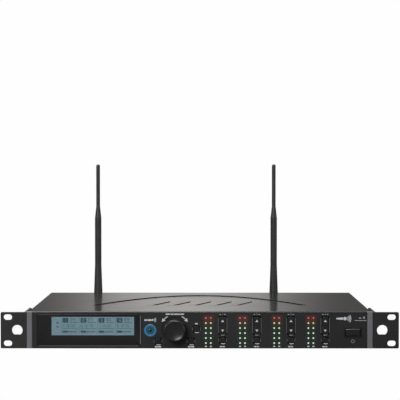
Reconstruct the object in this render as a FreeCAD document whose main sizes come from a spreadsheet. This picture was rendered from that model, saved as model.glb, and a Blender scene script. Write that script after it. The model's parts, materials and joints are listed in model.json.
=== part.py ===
"""Four-channel wireless receiver, one rack unit tall, with two hinged whip antennas.

Frame: X to the right seen from the front, Y towards the back, Z up, in millimetres.
Origin: the middle of the overall box in X and Y, at its lowest height.
Every piece is drawn from the front face of the panel (y = 0) and from the underside of
the case (z = 0), and its Placement carries it back to that origin.
"""

import FreeCAD, Part
import math
import os
import types

import Sketcher

SIZES = {
    # case
    "rack_width": (482.6, "overall width across the rack ears"),
    "unit_tall": (44.0, "height of the front panel and of the ears"),
    "chassis_width": (420.0, "width of the case behind the panel"),
    "body_deep": (280.0, "front face of the panel to the outside of the rear panel"),
    "sheet_thick": (1.2, "steel sheet of the chassis and cover"),
    "rear_thick": (1.5, "rear panel"),
    "cover_drop": (1.0, "top of the cover below the top of the front panel"),
    "fit_gap": (0.2, "gap between pieces that are fixed together"),
    "move_gap": (0.35, "gap round a piece that moves"),
    # front panel
    "panel_deep": (12.0, "depth of the moulded front panel"),
    "plate_thick": (3.0, "front plate of the panel"),
    "rim_thick": (2.0, "rim behind the front plate"),
    "strip_wide": (7.0, "trim strip at each end of the panel"),
    "strip_round": (1.2, "rounded front edges of a trim strip"),
    # rack ears
    "ear_thick": (3.0, "plate of a rack ear"),
    "ear_deep": (55.0, "side flange of a rack ear"),
    "ear_bend": (2.5, "inside bend of a rack ear"),
    "vent_count": (8, "cooling slots in each side"),
    "vent_pitch": (7.0, "distance from one cooling slot to the next"),
    "vent_start": (193.0, "first cooling slot behind the panel's face"),
    "vent_long": (24.0, "height of a cooling slot"),
    "vent_radius": (1.4, "half the width of a cooling slot"),
    "window_margin": (2.0, "opening in the front wall round the power switch"),
    "slot_span": (465.1, "distance between left and right rack slots"),
    "slot_pitch": (31.75, "distance between lower and upper rack slots"),
    "slot_long": (10.3, "overall length of a rack slot"),
    "slot_wide": (6.8, "height of a rack slot"),
    "dee_inset": (20.1, "centre of the D-shaped hole from the end of the ear"),
    "dee_radius": (6.45, "radius of the D-shaped hole"),
    "dee_flat": (5.2, "flat of the D-shaped hole below its centre"),
    # display
    "lens_left": (-197.4, "left edge of the display window"),
    "lens_right": (-71.6, "right edge of the display window"),
    "lens_low": (2.9, "bottom edge of the display window"),
    "lens_high": (42.0, "top edge of the display window"),
    "lens_sink": (1.8, "depth of the window's seat in the panel"),
    "lens_stand": (0.8, "display window in front of the panel"),
    "lens_round": (3.0, "corner radius of the display window"),
    "lens_ledge": (2.0, "ledge that carries the display window"),
    "lens_bevel": (0.64, "bevel round the display window"),
    "screen_left": (-179.5, "left edge of the lit screen"),
    "screen_right": (-79.5, "right edge of the lit screen"),
    "screen_low": (15.9, "bottom edge of the lit screen"),
    "screen_high": (38.4, "top edge of the lit screen"),
    "glass_margin": (2.0, "screen glass beyond the lit screen"),
    "glass_thick": (2.4, "screen glass"),
    "frame_wall": (1.2, "metal frame round the screen glass"),
    # control board and switches
    "board_front": (9.2, "front face of the control board"),
    "board_thick": (1.6, "thickness of every circuit board"),
    "key_back": (5.0, "back face of every key"),
    "key_flange": (1.0, "rim behind the panel that keeps a key in"),
    "key_travel": (0.6, "how far a key is pressed"),
    "switch_side": (6.0, "side of a tactile switch"),
    "stem_long": (0.6, "stem of a tactile switch"),
    "stem_radius": (1.5, "stem of a tactile switch"),
    "board_rim": (1.0, "gap between the control board and the panel's rim"),
    "board_end": (4.0, "gap between the control board and the power switch"),
    # push keys
    "key_wide": (7.4, "width of a push key"),
    "key_tall": (6.8, "height of a push key"),
    "key_round": (1.8, "corner radius of a push key"),
    "key_stand": (1.0, "keys in front of the panel"),
    "hole_bevel": (0.9, "bevel round each key opening"),
    "key_edge": (0.6, "rounded front edge of a push key"),
    "key_lip": (1.2, "rim of a push key beyond its sides"),
    "menu_left": (-50.4, "key at the lower left of the knob"),
    "menu_right": (-10.5, "key at the lower right of the knob"),
    "menu_height": (8.6, "height of the two menu keys"),
    "scan_place": (-4.0, "upper key right of the knob"),
    "scan_height": (23.4, "height of the upper key"),
    # synchronising port
    "port_place": (-60.0, "centre of the lit ring"),
    "port_height": (22.0, "height of the lit ring"),
    "port_outer": (7.5, "outer radius of the lit ring"),
    "port_inner": (5.15, "inner radius of the lit ring"),
    "port_stand": (1.0, "lit ring in front of the panel"),
    "port_edge": (0.6, "bevelled edges of the lit ring"),
    "port_lip": (1.4, "flange of the lit ring beyond its outside"),
    "port_lip_thick": (0.8, "flange of the lit ring"),
    "button_stand": (0.6, "round button in front of the panel"),
    "button_dish": (0.5, "hollow in the face of the round button"),
    "button_dish_inner": (1.9, "floor of the button's hollow"),
    "button_dish_outer": (2.9, "edge of the button's hollow"),
    "button_edge": (0.4, "bevelled edge of the round button"),
    "button_lip": (1.2, "rim of the round button beyond its side"),
    "button_lip_thick": (0.6, "rim of the round button"),
    # encoder and knob
    "knob_place": (-30.2, "centre of the knob"),
    "knob_height": (22.6, "height of the knob's centre"),
    "knob_radius": (13.65, "radius of the knob"),
    "knob_stand": (16.0, "face of the knob in front of the panel"),
    "knob_bevel": (1.7, "bevel round the knob's face"),
    "knob_bevel_deep": (2.6, "depth of the bevel round the knob's face"),
    "knob_dish": (1.0, "hollow of the knob's face"),
    "knob_land": (0.8, "flat ring between the knob's bevel and its hollow"),
    "knob_gap": (0.8, "back of the knob in front of the panel's face"),
    "knob_nut_room": (0.6, "gap between the knob and the end of the bush"),
    "knob_wall": (2.2, "skirt of the knob"),
    "knob_cap": (3.0, "front of the knob before the shaft's end"),
    "well_radius": (16.0, "sunk ring round the knob"),
    "well_deep": (1.6, "depth of the sunk ring"),
    "flute_radius": (0.5, "grip flutes of the knob"),
    "flute_long": (11.4, "grip flutes of the knob"),
    "shaft_radius": (3.0, "encoder shaft"),
    "run_gap": (0.06, "gap of a shaft that turns in its bearing"),
    "bush_radius": (4.2, "threaded bush of the encoder"),
    "bush_long": (6.0, "bush in front of the encoder's body"),
    "coder_side": (12.5, "side of the encoder's body"),
    "coder_front": (3.6, "front face of the encoder's body"),
    "coder_floor": (0.4, "floor of the bore in the encoder's body"),
    "shaft_end_gap": (1.2, "end of the shaft in front of the control board"),
    "nut_thick": (2.0, "nut of the encoder"),
    "nut_half_flat": (6.3, "half the width of the encoder's nut across its flats"),
    "push_travel": (0.5, "how far the knob is pushed in"),
    # channels
    "channel_first": (27.8, "centre of the first channel's keys"),
    "channel_pitch": (41.4, "distance from one channel to the next"),
    "volume_wide": (8.4, "width of a volume key"),
    "volume_tall": (20.8, "height of a volume key"),
    "volume_height": (27.95, "centre of the volume keys"),
    "volume_end_gap": (0.6, "gap at the two ends of a volume key"),
    "volume_back_gap": (0.4, "back of a volume key in front of the push keys' backs"),
    "volume_edge": (0.5, "rounded front edge of a volume key"),
    "waist_deep": (0.5, "groove across the middle of a volume key"),
    "waist_half": (2.2, "half the mouth of the groove, 1 in front of the key"),
    "pivot_deep": (4.2, "hinge of a volume key behind the panel's face"),
    "pivot_radius": (0.8, "pivot of a volume key"),
    "pivot_reach": (6.6, "end of a pivot from the middle of its key"),
    "lug_inner": (5.0, "inner side of a pivot lug from the middle of the key"),
    "lug_wide": (1.9, "width of a pivot lug"),
    "lug_tall": (3.6, "height of a pivot lug"),
    "lug_deep": (2.9, "pivot lug behind the front plate"),
    "select_height": (9.9, "centre of the select keys"),
    # level lights
    "light_outer": (-20.3, "outer column of lights from the channel's keys"),
    "light_inner": (-14.3, "inner column of lights from the channel's keys"),
    "light_low": (6.5, "height of the lowest lights"),
    "light_pitch": (6.08, "distance from one row of lights to the next"),
    "light_radius": (1.25, "radius of a light"),
    "light_stand": (0.4, "lights in front of the panel"),
    # power switch
    "power_place": (185.5, "centre of the power switch"),
    "power_height": (19.5, "height of the power switch"),
    "bezel_wide": (21.5, "bezel of the power switch"),
    "bezel_tall": (11.9, "bezel of the power switch"),
    "bezel_stand": (1.0, "bezel in front of the panel"),
    "bezel_round": (1.0, "corner radius of the bezel"),
    "bezel_bevel": (0.4, "bevel round the bezel"),
    "housing_wide": (20.4, "housing of the power switch"),
    "housing_tall": (10.8, "housing of the power switch"),
    "housing_deep": (17.0, "housing behind the panel's face"),
    "housing_floor": (3.0, "floor of the power switch's housing"),
    "axle_end_gap": (0.2, "ends of the rocker's axle inside the housing's sides"),
    "rocker_radius": (9.1, "ends of the rocker from its pivot"),
    "rocker_tall": (8.2, "height of the rocker"),
    "rocker_pivot": (1.5, "pivot of the rocker behind the panel's face"),
    "rocker_edge": (-1.0, "outer corners of the level rocker"),
    "rocker_waist": (0.3, "middle of the rocker's face"),
    "rocker_tilt": (8.5, "tilt of the rocker to each side, in degrees"),
    "axle_radius": (1.0, "pivot pins of the rocker"),
    "rocker_skirt": (20.0, "skirt of the rocker behind its pivot, in degrees"),
    # cover
    "arch_apex": (241.0, "pressed arch, its top behind the panel's face"),
    "arch_foot": (97.0, "pressed arch, its ends behind the panel's face"),
    "arch_half": (138.0, "pressed arch, half its width at its ends"),
    "press_deep": (0.9, "how far the arch is pressed in"),
    "rib_count": (5, "slanted ribs in the arch"),
    "rib_wide": (7.0, "width of a slanted rib"),
    "rib_long": (52.0, "length of a slanted rib along Y"),
    "rib_slant": (22.0, "sideways lean of a slanted rib"),
    "rib_pitch": (27.0, "distance from one rib to the next"),
    "rib_start": (101.0, "front end of the ribs"),
    "rib_high": (0.7, "height of a rib"),
    # rear sockets
    "axis_height": (22.0, "height of the antenna sockets"),
    "antenna_left": (-145.5, "left antenna"),
    "antenna_right": (104.5, "right antenna"),
    "plug_first": (-112.0, "first balanced output"),
    "plug_pitch": (46.0, "distance from one output to the next"),
    "plug_height": (21.5, "height of the output sockets"),
    "plug_flange_wide": (26.0, "flange of a balanced output"),
    "plug_flange_tall": (31.0, "flange of a balanced output"),
    "plug_flange_thick": (2.0, "flange of a balanced output"),
    "plug_shell": (11.4, "outer radius of a balanced output's shell"),
    "plug_cavity": (9.2, "radius inside a balanced output"),
    "plug_rim": (1.5, "raised rim of a balanced output"),
    "plug_flange_round": (2.5, "corner radius of the flange"),
    "plug_floor": (2.0, "floor of a balanced output's shell"),
    "plug_key_wide": (2.4, "guide rib in a balanced output"),
    "plug_key_tall": (1.4, "guide rib in a balanced output"),
    "plug_screw_inset": (0.5, "edge of a fixing screw's head from the edge of the flange"),
    "plug_deep": (15.0, "shell behind the rear panel"),
    "pin_radius": (1.2, "contact pin"),
    "pin_circle": (3.4, "contact pins from the middle of the socket"),
    "pin_sink": (4.6, "tips of the contact pins below the rim"),
    "jack_step": (22.7, "jack socket from the balanced output beside it"),
    "jack_bore": (3.2, "radius of a jack socket's bore"),
    "jack_barrel": (4.7, "threaded barrel of a jack socket"),
    "jack_nut": (7.0, "radius of a jack socket's nut"),
    "jack_nut_thick": (2.4, "nut of a jack socket"),
    "jack_stand": (3.6, "barrel of a jack socket outside the rear panel"),
    "jack_body": (14.0, "side of a jack socket's body"),
    "jack_deep": (24.0, "jack socket's body behind the rear panel"),
    "jack_floor": (1.0, "floor of a jack socket's bore"),
    "mix_place": (73.0, "mixed output jack"),
    "inlet_place": (168.0, "mains inlet"),
    "inlet_height": (21.5, "height of the mains inlet"),
    "inlet_flange_wide": (48.0, "flange of the mains inlet"),
    "inlet_flange_tall": (24.0, "flange of the mains inlet"),
    "inlet_flange_thick": (3.0, "flange of the mains inlet"),
    "inlet_flange_round": (4.0, "corner radius of the mains inlet's flange"),
    "inlet_body_wide": (29.0, "body of the mains inlet"),
    "inlet_body_tall": (21.5, "body of the mains inlet"),
    "inlet_body_deep": (20.0, "body of the mains inlet behind the rear panel"),
    "inlet_mouth_wide": (24.4, "mouth of the mains inlet"),
    "inlet_mouth_tall": (16.2, "mouth of the mains inlet"),
    "inlet_mouth_deep": (19.0, "mouth of the mains inlet"),
    "inlet_cut": (4.5, "slanted upper corners of the mains inlet's mouth"),
    "blade_sink": (5.0, "contact blades below the face of the inlet"),
    "blade_thick": (2.0, "contact blade"),
    "blade_tall": (4.0, "contact blade"),
    "blade_step": (7.0, "outer blades from the middle one"),
    "blade_low": (-1.5, "outer blades from the middle of the inlet"),
    "blade_high": (2.5, "earth blade from the middle of the inlet"),
    # antennas
    "bnc_barrel": (4.8, "barrel of an antenna socket"),
    "bnc_bore": (3.4, "bore of an antenna socket"),
    "bnc_stand": (11.0, "barrel of an antenna socket outside the rear panel"),
    "bnc_lug": (5.6, "bayonet lugs from the axis"),
    "bnc_lug_radius": (1.0, "bayonet lugs"),
    "bnc_lug_back": (3.0, "bayonet lugs from the end of the barrel"),
    "bnc_flange": (2.0, "flange of an antenna socket, and the floor of its bore"),
    "bnc_nut": (3.0, "nut of an antenna socket inside the rear panel"),
    "bnc_tail": (8.0, "tail of an antenna socket inside the rear panel"),
    "collar_radius": (7.3, "bayonet collar"),
    "collar_bore": (6.0, "inside of the bayonet collar"),
    "collar_start": (2.8, "front end of the bayonet collar"),
    "collar_end": (15.0, "back end of the bayonet collar"),
    "collar_wall": (2.0, "end wall of the bayonet collar"),
    "collar_lead": (0.4, "front bevel of the bayonet collar"),
    "collar_bevel": (0.8, "back bevel of the bayonet collar"),
    "knurl_radius": (0.6, "grooves round the bayonet collar"),
    "knurl_out": (0.25, "middle of a groove outside the collar"),
    "knurl_start": (4.0, "smooth band at the collar's front end"),
    "stem_radius": (4.0, "swivel stem of the elbow"),
    "elbow_radius": (6.0, "fork of the elbow"),
    "fork_start": (15.6, "shoulder of the fork behind the rear panel"),
    "fork_floor": (21.4, "floor of the fork behind the rear panel"),
    "fork_gap": (5.4, "width between the two cheeks of the fork"),
    "fork_bevel": (0.8, "bevel round the outside of the cheeks"),
    "tube_start": (3.5, "inner tube of the elbow behind the rear panel"),
    "stem_step": (0.5, "shoulder of the stem behind the antenna socket"),
    "whip_offset": (28.0, "hinge of the whip behind the rear panel"),
    "tongue_thick": (4.7, "tongue of the whip"),
    "hinge_radius": (1.5, "hinge pin"),
    "whip_base": (6.0, "radius of the whip at its foot"),
    "whip_middle": (4.6, "radius of the whip above its foot"),
    "whip_tip": (2.7, "radius of the whip at its tip"),
    "whip_shoulder": (6.6, "foot of the whip above the hinge"),
    "whip_edge": (0.6, "bevel round the whip's foot"),
    "whip_base_end": (20.0, "top of the foot above the hinge"),
    "whip_taper_end": (58.0, "end of the lower taper above the hinge"),
    "whip_step": (125.0, "start of the upper taper above the hinge"),
    "whip_thin": (142.0, "end of the upper taper above the hinge"),
    "whip_top": (201.5, "tip of the whip above the hinge"),
    # inside
    "standoff_tall": (5.8, "standoffs under the circuit boards"),
    "standoff_radius": (2.6, "standoffs under the circuit boards"),
    "standoff_inset": (6.0, "standoffs from the edges of their board"),
    "board_side_gap": (8.0, "circuit boards from the side walls"),
    "board_back_gap": (8.0, "circuit boards in front of the jack sockets"),
    "main_right": (57.5, "right edge of the main board"),
    "main_front": (62.0, "front edge of the main board behind the panel's face"),
    "supply_left": (92.0, "left edge of the power supply board"),
    "supply_front": (90.0, "front edge of the power supply board"),
    "core_place": (128.0, "middle of the transformer"),
    "core_behind": (140.0, "middle of the transformer behind the panel's face"),
    "core_side": (40.0, "side of the transformer's core"),
    "core_tall": (28.0, "transformer's core"),
    "coil_over": (6.0, "winding beyond each side of the core"),
    "coil_long": (24.0, "winding along Y"),
    "coil_inset": (3.0, "winding below the core's top and above its foot"),
    "module_wide": (44.0, "receiver module"),
    "module_long": (74.0, "receiver module"),
    "module_tall": (15.0, "receiver module"),
    "module_first": (18.0, "first receiver module from the left side wall"),
    "module_gap": (12.0, "gap between two receiver modules"),
    "module_front": (120.0, "front of the receiver modules behind the panel's face"),
    "tin_thick": (0.5, "sheet of a receiver module"),
    "ribbon_place": (-60.0, "middle of the flat cable"),
    "ribbon_wide": (34.0, "flat cable"),
    "ribbon_thick": (1.0, "flat cable"),
    "ribbon_height": (29.0, "flat cable on the control board"),
    "ribbon_out": (12.0, "level stretch of the flat cable behind the control board"),
    "header_back": (20.0, "back of the cable's plug behind the main board's front edge"),
    "header_long": (6.0, "plug of the flat cable"),
    "header_tall": (4.0, "plug of the flat cable"),
    "lead_radius": (1.3, "coaxial lead"),
    "lead_bend": (8.0, "bends of the inner leads"),
    "lead_rise": (9.0, "coaxial leads above the antenna sockets"),
    "lead_end_gap": (1.2, "end of a coaxial lead behind its module"),
    "lead_end_height": (8.0, "end of a coaxial lead above its board"),
    "mains_radius": (2.08, "mains lead inside the case"),
    "mains_side_gap": (6.0, "mains lead from the side wall"),
    # screws
    "screw_radius": (1.5, "shank of a case screw"),
    "screw_head": (3.0, "radius of a case screw's head"),
    "screw_head_tall": (1.8, "height of a case screw's head"),
    "screw_long": (4.0, "shank of a case screw"),
}

FLUTES = 36
KNURLS = 18
ARCH_STEPS = 20
CHANNELS = 4
LIGHT_ROWS = 6
FULL_TURN = 360
RIGHT_TURN = 90

doc = FreeCAD.newDocument("receiver")
sheet = doc.addObject("Spreadsheet::Sheet", "Sizes")


class Dim:
    """A length with its value now and the expression of sheet cells that gives it."""

    def __init__(self, value, text):
        self.value = value
        self.text = text

    def __add__(self, other):
        other = dim(other)
        return Dim(self.value + other.value, f"({self.text} + {other.text})")

    def __sub__(self, other):
        other = dim(other)
        return Dim(self.value - other.value, f"({self.text} - {other.text})")

    def __mul__(self, other):
        other = dim(other)
        return Dim(self.value * other.value, f"({self.text} * {other.text})")

    def __truediv__(self, other):
        other = dim(other)
        return Dim(self.value / other.value, f"({self.text} / {other.text})")

    def __neg__(self):
        return Dim(-self.value, f"(0 - {self.text})")

    def __radd__(self, other):
        return dim(other) + self

    def __rsub__(self, other):
        return dim(other) - self

    def __rmul__(self, other):
        return dim(other) * self


def dim(value):
    """Any number or Dim as a Dim."""
    if isinstance(value, Dim):
        return value
    return Dim(value, f"({value:.9f})")


def fill_sheet():
    """Writes every size into the sheet and returns them by name."""
    named = {}
    for row, (name, (value, note)) in enumerate(SIZES.items(), start=1):
        sheet.set(f"A{row}", note)
        sheet.set(f"B{row}", str(value))
        sheet.setAlias(f"B{row}", name)
        named[name] = Dim(value, f"Sizes.{name}")
    return types.SimpleNamespace(**named)


s = fill_sheet()
doc.recompute()

# Places that several pieces share.
FRONT = -(s.body_deep + s.whip_offset + s.elbow_radius - s.knob_stand) / 2
CASE_HALF = s.chassis_width / 2
PANEL_HALF = CASE_HALF - s.strip_wide - s.fit_gap
COVER_TOP = s.unit_tall - s.cover_drop
COVER_UNDER = COVER_TOP - s.sheet_thick
WALL_OUT = CASE_HALF - s.sheet_thick - s.fit_gap
WALL_IN = WALL_OUT - s.sheet_thick
WALL_TOP = COVER_UNDER - s.press_deep - s.fit_gap
REAR_IN = s.body_deep - s.rear_thick
HINGE_Y = s.body_deep + s.whip_offset
EAR_IN = CASE_HALF + s.fit_gap / 2
EAR_OUT = EAR_IN + s.ear_thick
BOARD_LOW = s.sheet_thick + s.standoff_tall
BOARD_TOP = BOARD_LOW + s.board_thick
MID_TALL = s.unit_tall / 2
SIDES = (-1, 1)

# Where the screws are, as shares of the depth and height, or of the width.
EAR_SCREWS = [(0.35, 0.23), (0.35, 0.77), (0.82, 0.23), (0.82, 0.77)]
COVER_SCREWS = [0.36, 0.64, 0.93]
REAR_SCREWS = [-0.97, -0.75, 0.24, 0.62, 0.97]


# ---------------------------------------------------------------- building blocks

def bind(thing, path, value):
    """Ties one property of a document object to the sheet."""
    thing.setExpression(path, dim(value).text)


def place(thing, x=0, y=0, z=0):
    """Puts a piece at x, y, z, measured from the panel's front face."""
    bind(thing, "Placement.Base.x", x)
    bind(thing, "Placement.Base.y", FRONT + y)
    bind(thing, "Placement.Base.z", z)


def body(label, x=0, y=0, z=0):
    """A new PartDesign body."""
    piece = doc.addObject("PartDesign::Body", label)
    piece.Label = label
    place(piece, x, y, z)
    return piece


def origin_part(piece, role):
    """An origin plane or axis of a body, by its role."""
    return next(f for f in piece.Origin.OriginFeatures if f.Role == role)


def sketch(piece, plane, at=0):
    """An empty sketch on a body's XY, XZ or YZ plane, moved along that plane's normal axis."""
    drawing = piece.newObject("Sketcher::SketchObject", f"{piece.Label}_sketch")
    drawing.AttachmentSupport = (origin_part(piece, f"{plane}_Plane"), [""])
    drawing.MapMode = "FlatFace"
    offset = -dim(at) if plane == "XZ" else dim(at)
    bind(drawing, "AttachmentOffset.Base.z", offset)
    return drawing


def fix_point(drawing, index, end, x, y):
    """Holds one end of a curve at x, y from the sketch's origin."""
    for kind, value in (("DistanceX", dim(x)), ("DistanceY", dim(y))):
        number = drawing.addConstraint(
            Sketcher.Constraint(kind, -1, 1, index, end, value.value))
        bind(drawing, f"Constraints[{number}]", value)


def arc_between(start, end, radius):
    """The short arc from start to end, turning left for a positive radius."""
    chord = end - start
    middle = (start + end) * 0.5
    left = FreeCAD.Vector(-chord.y, chord.x, 0)
    left.normalize()
    reach = math.sqrt(max(radius ** 2 - (chord.Length / 2) ** 2, 0.0))
    turn = 1 if radius > 0 else -1
    centre = middle + left * reach * turn
    angles = [math.atan2(p.y - centre.y, p.x - centre.x) for p in (start, end)]
    if turn < 0:
        angles.reverse()
    circle = Part.Circle(centre, FreeCAD.Vector(0, 0, 1), abs(radius))
    return Part.ArcOfCircle(circle, angles[0], angles[1])


def outline(drawing, points):
    """A closed outline. A point (x, y, radius) is reached by an arc of that radius."""
    first = drawing.GeometryCount
    fixed = [FreeCAD.Vector(dim(p[0]).value, dim(p[1]).value, 0) for p in points]
    ends = []
    for number, point in enumerate(points):
        start, end = fixed[number - 1], fixed[number]
        if len(point) == 3:
            radius = dim(point[2])
            index = drawing.addGeometry(arc_between(start, end, radius.value), False)
            size = radius if radius.value > 0 else -radius
            held = drawing.addConstraint(
                Sketcher.Constraint("Radius", index, size.value))
            bind(drawing, f"Constraints[{held}]", size)
            ends.append((1, 2) if radius.value > 0 else (2, 1))
        else:
            index = drawing.addGeometry(Part.LineSegment(start, end), False)
            ends.append((1, 2))
        fix_point(drawing, index, ends[-1][1], point[0], point[1])
    for number in range(len(points)):
        before = number - 1 if number else len(points) - 1
        drawing.addConstraint(Sketcher.Constraint(
            "Coincident", first + before, ends[before][1], first + number, ends[number][0]))


def rectangle(drawing, left, right, low, high):
    """A rectangle between two sides and two heights."""
    outline(drawing, [(left, low), (right, low), (right, high), (left, high)])


def rounded(drawing, left, right, low, high, radius):
    """A rectangle with rounded corners."""
    outline(drawing, [
        (left + radius, low, radius), (right - radius, low),
        (right, low + radius, radius), (right, high - radius),
        (right - radius, high, radius), (left + radius, high),
        (left, high - radius, radius), (left, low + radius),
    ])


def slot(drawing, x, z, long, radius):
    """A level slot with round ends."""
    reach = long / 2 - radius
    outline(drawing, [
        (x + reach, z - radius), (x + reach + radius, z, radius),
        (x + reach, z + radius, radius), (x - reach, z + radius),
        (x - reach - radius, z, radius), (x - reach, z - radius, radius),
    ])


def centred(x, y, wide, tall):
    """The left, right, low and high sides of a rectangle about a middle."""
    x, y, wide, tall = dim(x), dim(y), dim(wide), dim(tall)
    return x - wide / 2, x + wide / 2, y - tall / 2, y + tall / 2


def circle(drawing, x, y, radius):
    """A circle."""
    x, y, radius = dim(x), dim(y), dim(radius)
    centre = FreeCAD.Vector(x.value, y.value, 0)
    ring = Part.Circle(centre, FreeCAD.Vector(0, 0, 1), radius.value)
    index = drawing.addGeometry(ring, False)
    held = drawing.addConstraint(Sketcher.Constraint("Radius", index, radius.value))
    bind(drawing, f"Constraints[{held}]", radius)
    fix_point(drawing, index, 3, x, y)


def feature(piece, kind, drawing, back):
    """A PartDesign feature on a sketch; back reverses its direction."""
    made = piece.newObject(f"PartDesign::{kind}", f"{piece.Label}_{kind}")
    made.Profile = drawing
    made.Reversed = back
    return made


def toward(drawing, direction):
    """Whether a feature must be reversed to run along +1 or -1 of its plane's axis."""
    on_xz = "XZ_Plane" in drawing.AttachmentSupport[0][0].Name
    return (direction > 0) if on_xz else (direction < 0)


def pad(piece, drawing, length, direction=1):
    """Material from the sketch along the plane's axis."""
    made = feature(piece, "Pad", drawing, toward(drawing, direction))
    bind(made, "Length", length)
    doc.recompute()
    return made


def pad_both(piece, drawing, length):
    """Material to both sides of the sketch."""
    made = feature(piece, "Pad", drawing, False)
    made.Midplane = True
    bind(made, "Length", length)
    doc.recompute()
    return made


def check_cut(piece, before, made):
    """Stops the build when a cut has removed nothing."""
    if made.Shape.isNull() or made.Shape.Volume > before - 1e-6:
        raise RuntimeError(f"{made.Name} of {piece.Label} cuts nothing")


def cut(piece, drawing, length, direction=1):
    """A pocket of one depth along the plane's axis."""
    before = piece.Tip.Shape.Volume
    made = feature(piece, "Pocket", drawing, not toward(drawing, direction))
    bind(made, "Length", length)
    doc.recompute()
    check_cut(piece, before, made)
    return made


def cut_through(piece, drawing):
    """A pocket right through the piece, to both sides of the sketch."""
    before = piece.Tip.Shape.Volume
    made = feature(piece, "Pocket", drawing, False)
    made.Type = "ThroughAll"
    made.Midplane = True
    doc.recompute()
    check_cut(piece, before, made)
    return made


def turn(piece, drawing, groove=False):
    """A revolved form, or a revolved cut, about the sketch's vertical axis."""
    before = piece.Tip.Shape.Volume if groove else 0.0
    made = feature(piece, "Groove" if groove else "Revolution", drawing, False)
    made.ReferenceAxis = (drawing, ["V_Axis"])
    made.Angle = FULL_TURN
    doc.recompute()
    if groove:
        check_cut(piece, before, made)
    return made


def along(piece, features, axis, length, count):
    """Copies of features in a row along an origin axis."""
    made = piece.newObject("PartDesign::LinearPattern", f"{piece.Label}_row")
    made.Originals = features
    made.Direction = (origin_part(piece, f"{axis}_Axis"), [""])
    bind(made, "Length", length)
    made.Occurrences = count
    piece.Tip = made
    doc.recompute()
    return made


def around(piece, features, axis, count):
    """Copies of features round an origin axis."""
    made = piece.newObject("PartDesign::PolarPattern", f"{piece.Label}_ring")
    made.Originals = features
    made.Axis = (origin_part(piece, f"{axis}_Axis"), [""])
    made.Angle = FULL_TURN
    made.Occurrences = count
    piece.Tip = made
    doc.recompute()
    return made


def edges(piece, test):
    """Names of the edges of a body's newest shape that pass a test."""
    found = enumerate(piece.Tip.Shape.Edges, start=1)
    return [f"Edge{number}" for number, edge in found if test(edge)]


def ease(piece, kind, names, size):
    """A fillet or a chamfer on named edges."""
    if not names:
        raise RuntimeError(f"no edges to ease on {piece.Label}")
    base = piece.Tip
    made = piece.newObject(f"PartDesign::{kind}", f"{piece.Label}_{kind}")
    made.Base = (base, names)
    bind(made, "Radius" if kind == "Fillet" else "Size", size)
    piece.Tip = made
    doc.recompute()
    return made


def near(a, b):
    """Whether two lengths are the same to a hundredth of a millimetre."""
    return abs(a - dim(b).value) < 0.01


def flat_at(edge, axis, value):
    """Whether an edge lies wholly in the plane where axis has a value."""
    box = edge.BoundBox
    low, high = getattr(box, f"{axis}Min"), getattr(box, f"{axis}Max")
    return near(low, value) and near(high, value)


def runs_along(edge, axis):
    """Whether an edge is a straight line along an axis."""
    box = edge.BoundBox
    spans = {a: getattr(box, f"{a}Length") for a in "XYZ"}
    others = [spans[a] for a in "XYZ" if a != axis]
    return edge.Curve.TypeId == "Part::GeomLine" and max(others) < 1e-6


def block(label, x, y, z):
    """A plain box from three pairs of limits."""
    made = doc.addObject("Part::Box", label)
    made.Label = label
    for name, (low, high) in zip(("Length", "Width", "Height"), (x, y, z)):
        bind(made, name, dim(high) - low)
    place(made, dim(x[0]), dim(y[0]), dim(z[0]))
    return made


AXIS_TURN = {
    "X": FreeCAD.Rotation(FreeCAD.Vector(0, 1, 0), RIGHT_TURN),
    "Y": FreeCAD.Rotation(FreeCAD.Vector(1, 0, 0), -RIGHT_TURN),
    "Z": FreeCAD.Rotation(),
}


def rod(label, axis, start, radius, length):
    """A cylinder that runs from start along an axis."""
    made = doc.addObject("Part::Cylinder", label)
    made.Label = label
    made.Placement = FreeCAD.Placement(FreeCAD.Vector(), AXIS_TURN[axis])
    bind(made, "Radius", radius)
    bind(made, "Height", length)
    place(made, *start)
    return made


def fused(label, pieces):
    """Several shapes as one solid."""
    made = doc.addObject("Part::MultiFuse", label)
    made.Label = label
    made.Shapes = pieces
    return made


def minus(label, base, tool):
    """One shape with another taken out of it."""
    made = doc.addObject("Part::Cut", label)
    made.Label = label
    made.Base = base
    made.Tool = tool
    return made


def group(label, pieces):
    """Separate solids that share one node."""
    made = doc.addObject("Part::Compound", label)
    made.Label = label
    made.Links = pieces
    return made


# ---------------------------------------------------------------- places that repeat

def channel_x(number):
    """The middle of one channel's keys."""
    return s.channel_first + s.channel_pitch * number


def plug_x(number):
    """The middle of one balanced output."""
    return s.plug_first + s.plug_pitch * number


def jack_places():
    """The middles of the jack sockets, the mixed output last."""
    return [plug_x(n) + s.jack_step for n in range(CHANNELS)] + [s.mix_place]


def push_keys():
    """Name, x and z of every push key."""
    keys = [("left_menu_key", s.menu_left, s.menu_height),
            ("right_menu_key", s.menu_right, s.menu_height),
            ("scan_key", s.scan_place, s.scan_height)]
    for number in range(CHANNELS):
        keys.append((f"select_key_{number + 1}", channel_x(number), s.select_height))
    return keys


def ear_screw_places():
    """y and z of the screws in a rack ear's flange."""
    return [(s.ear_deep * a, s.unit_tall * b) for a, b in EAR_SCREWS]


def cover_screw_places():
    """y and z of the cover's side screws."""
    return [(s.body_deep * a, MID_TALL) for a in COVER_SCREWS]


def rear_screw_places():
    """x and z of the rear panel's screws."""
    return [(WALL_IN * a, COVER_TOP * 0.12 if n % 2 else COVER_TOP * 0.86)
            for n, a in enumerate(REAR_SCREWS)]


def plug_screw_offsets():
    """The two fixing screws of a balanced output, from its middle."""
    inset = s.screw_head + s.plug_screw_inset
    across = s.plug_flange_wide / 2 - inset
    up = s.plug_flange_tall / 2 - inset
    return [(-across, up), (across, -up)]


# ---------------------------------------------------------------- case

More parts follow.
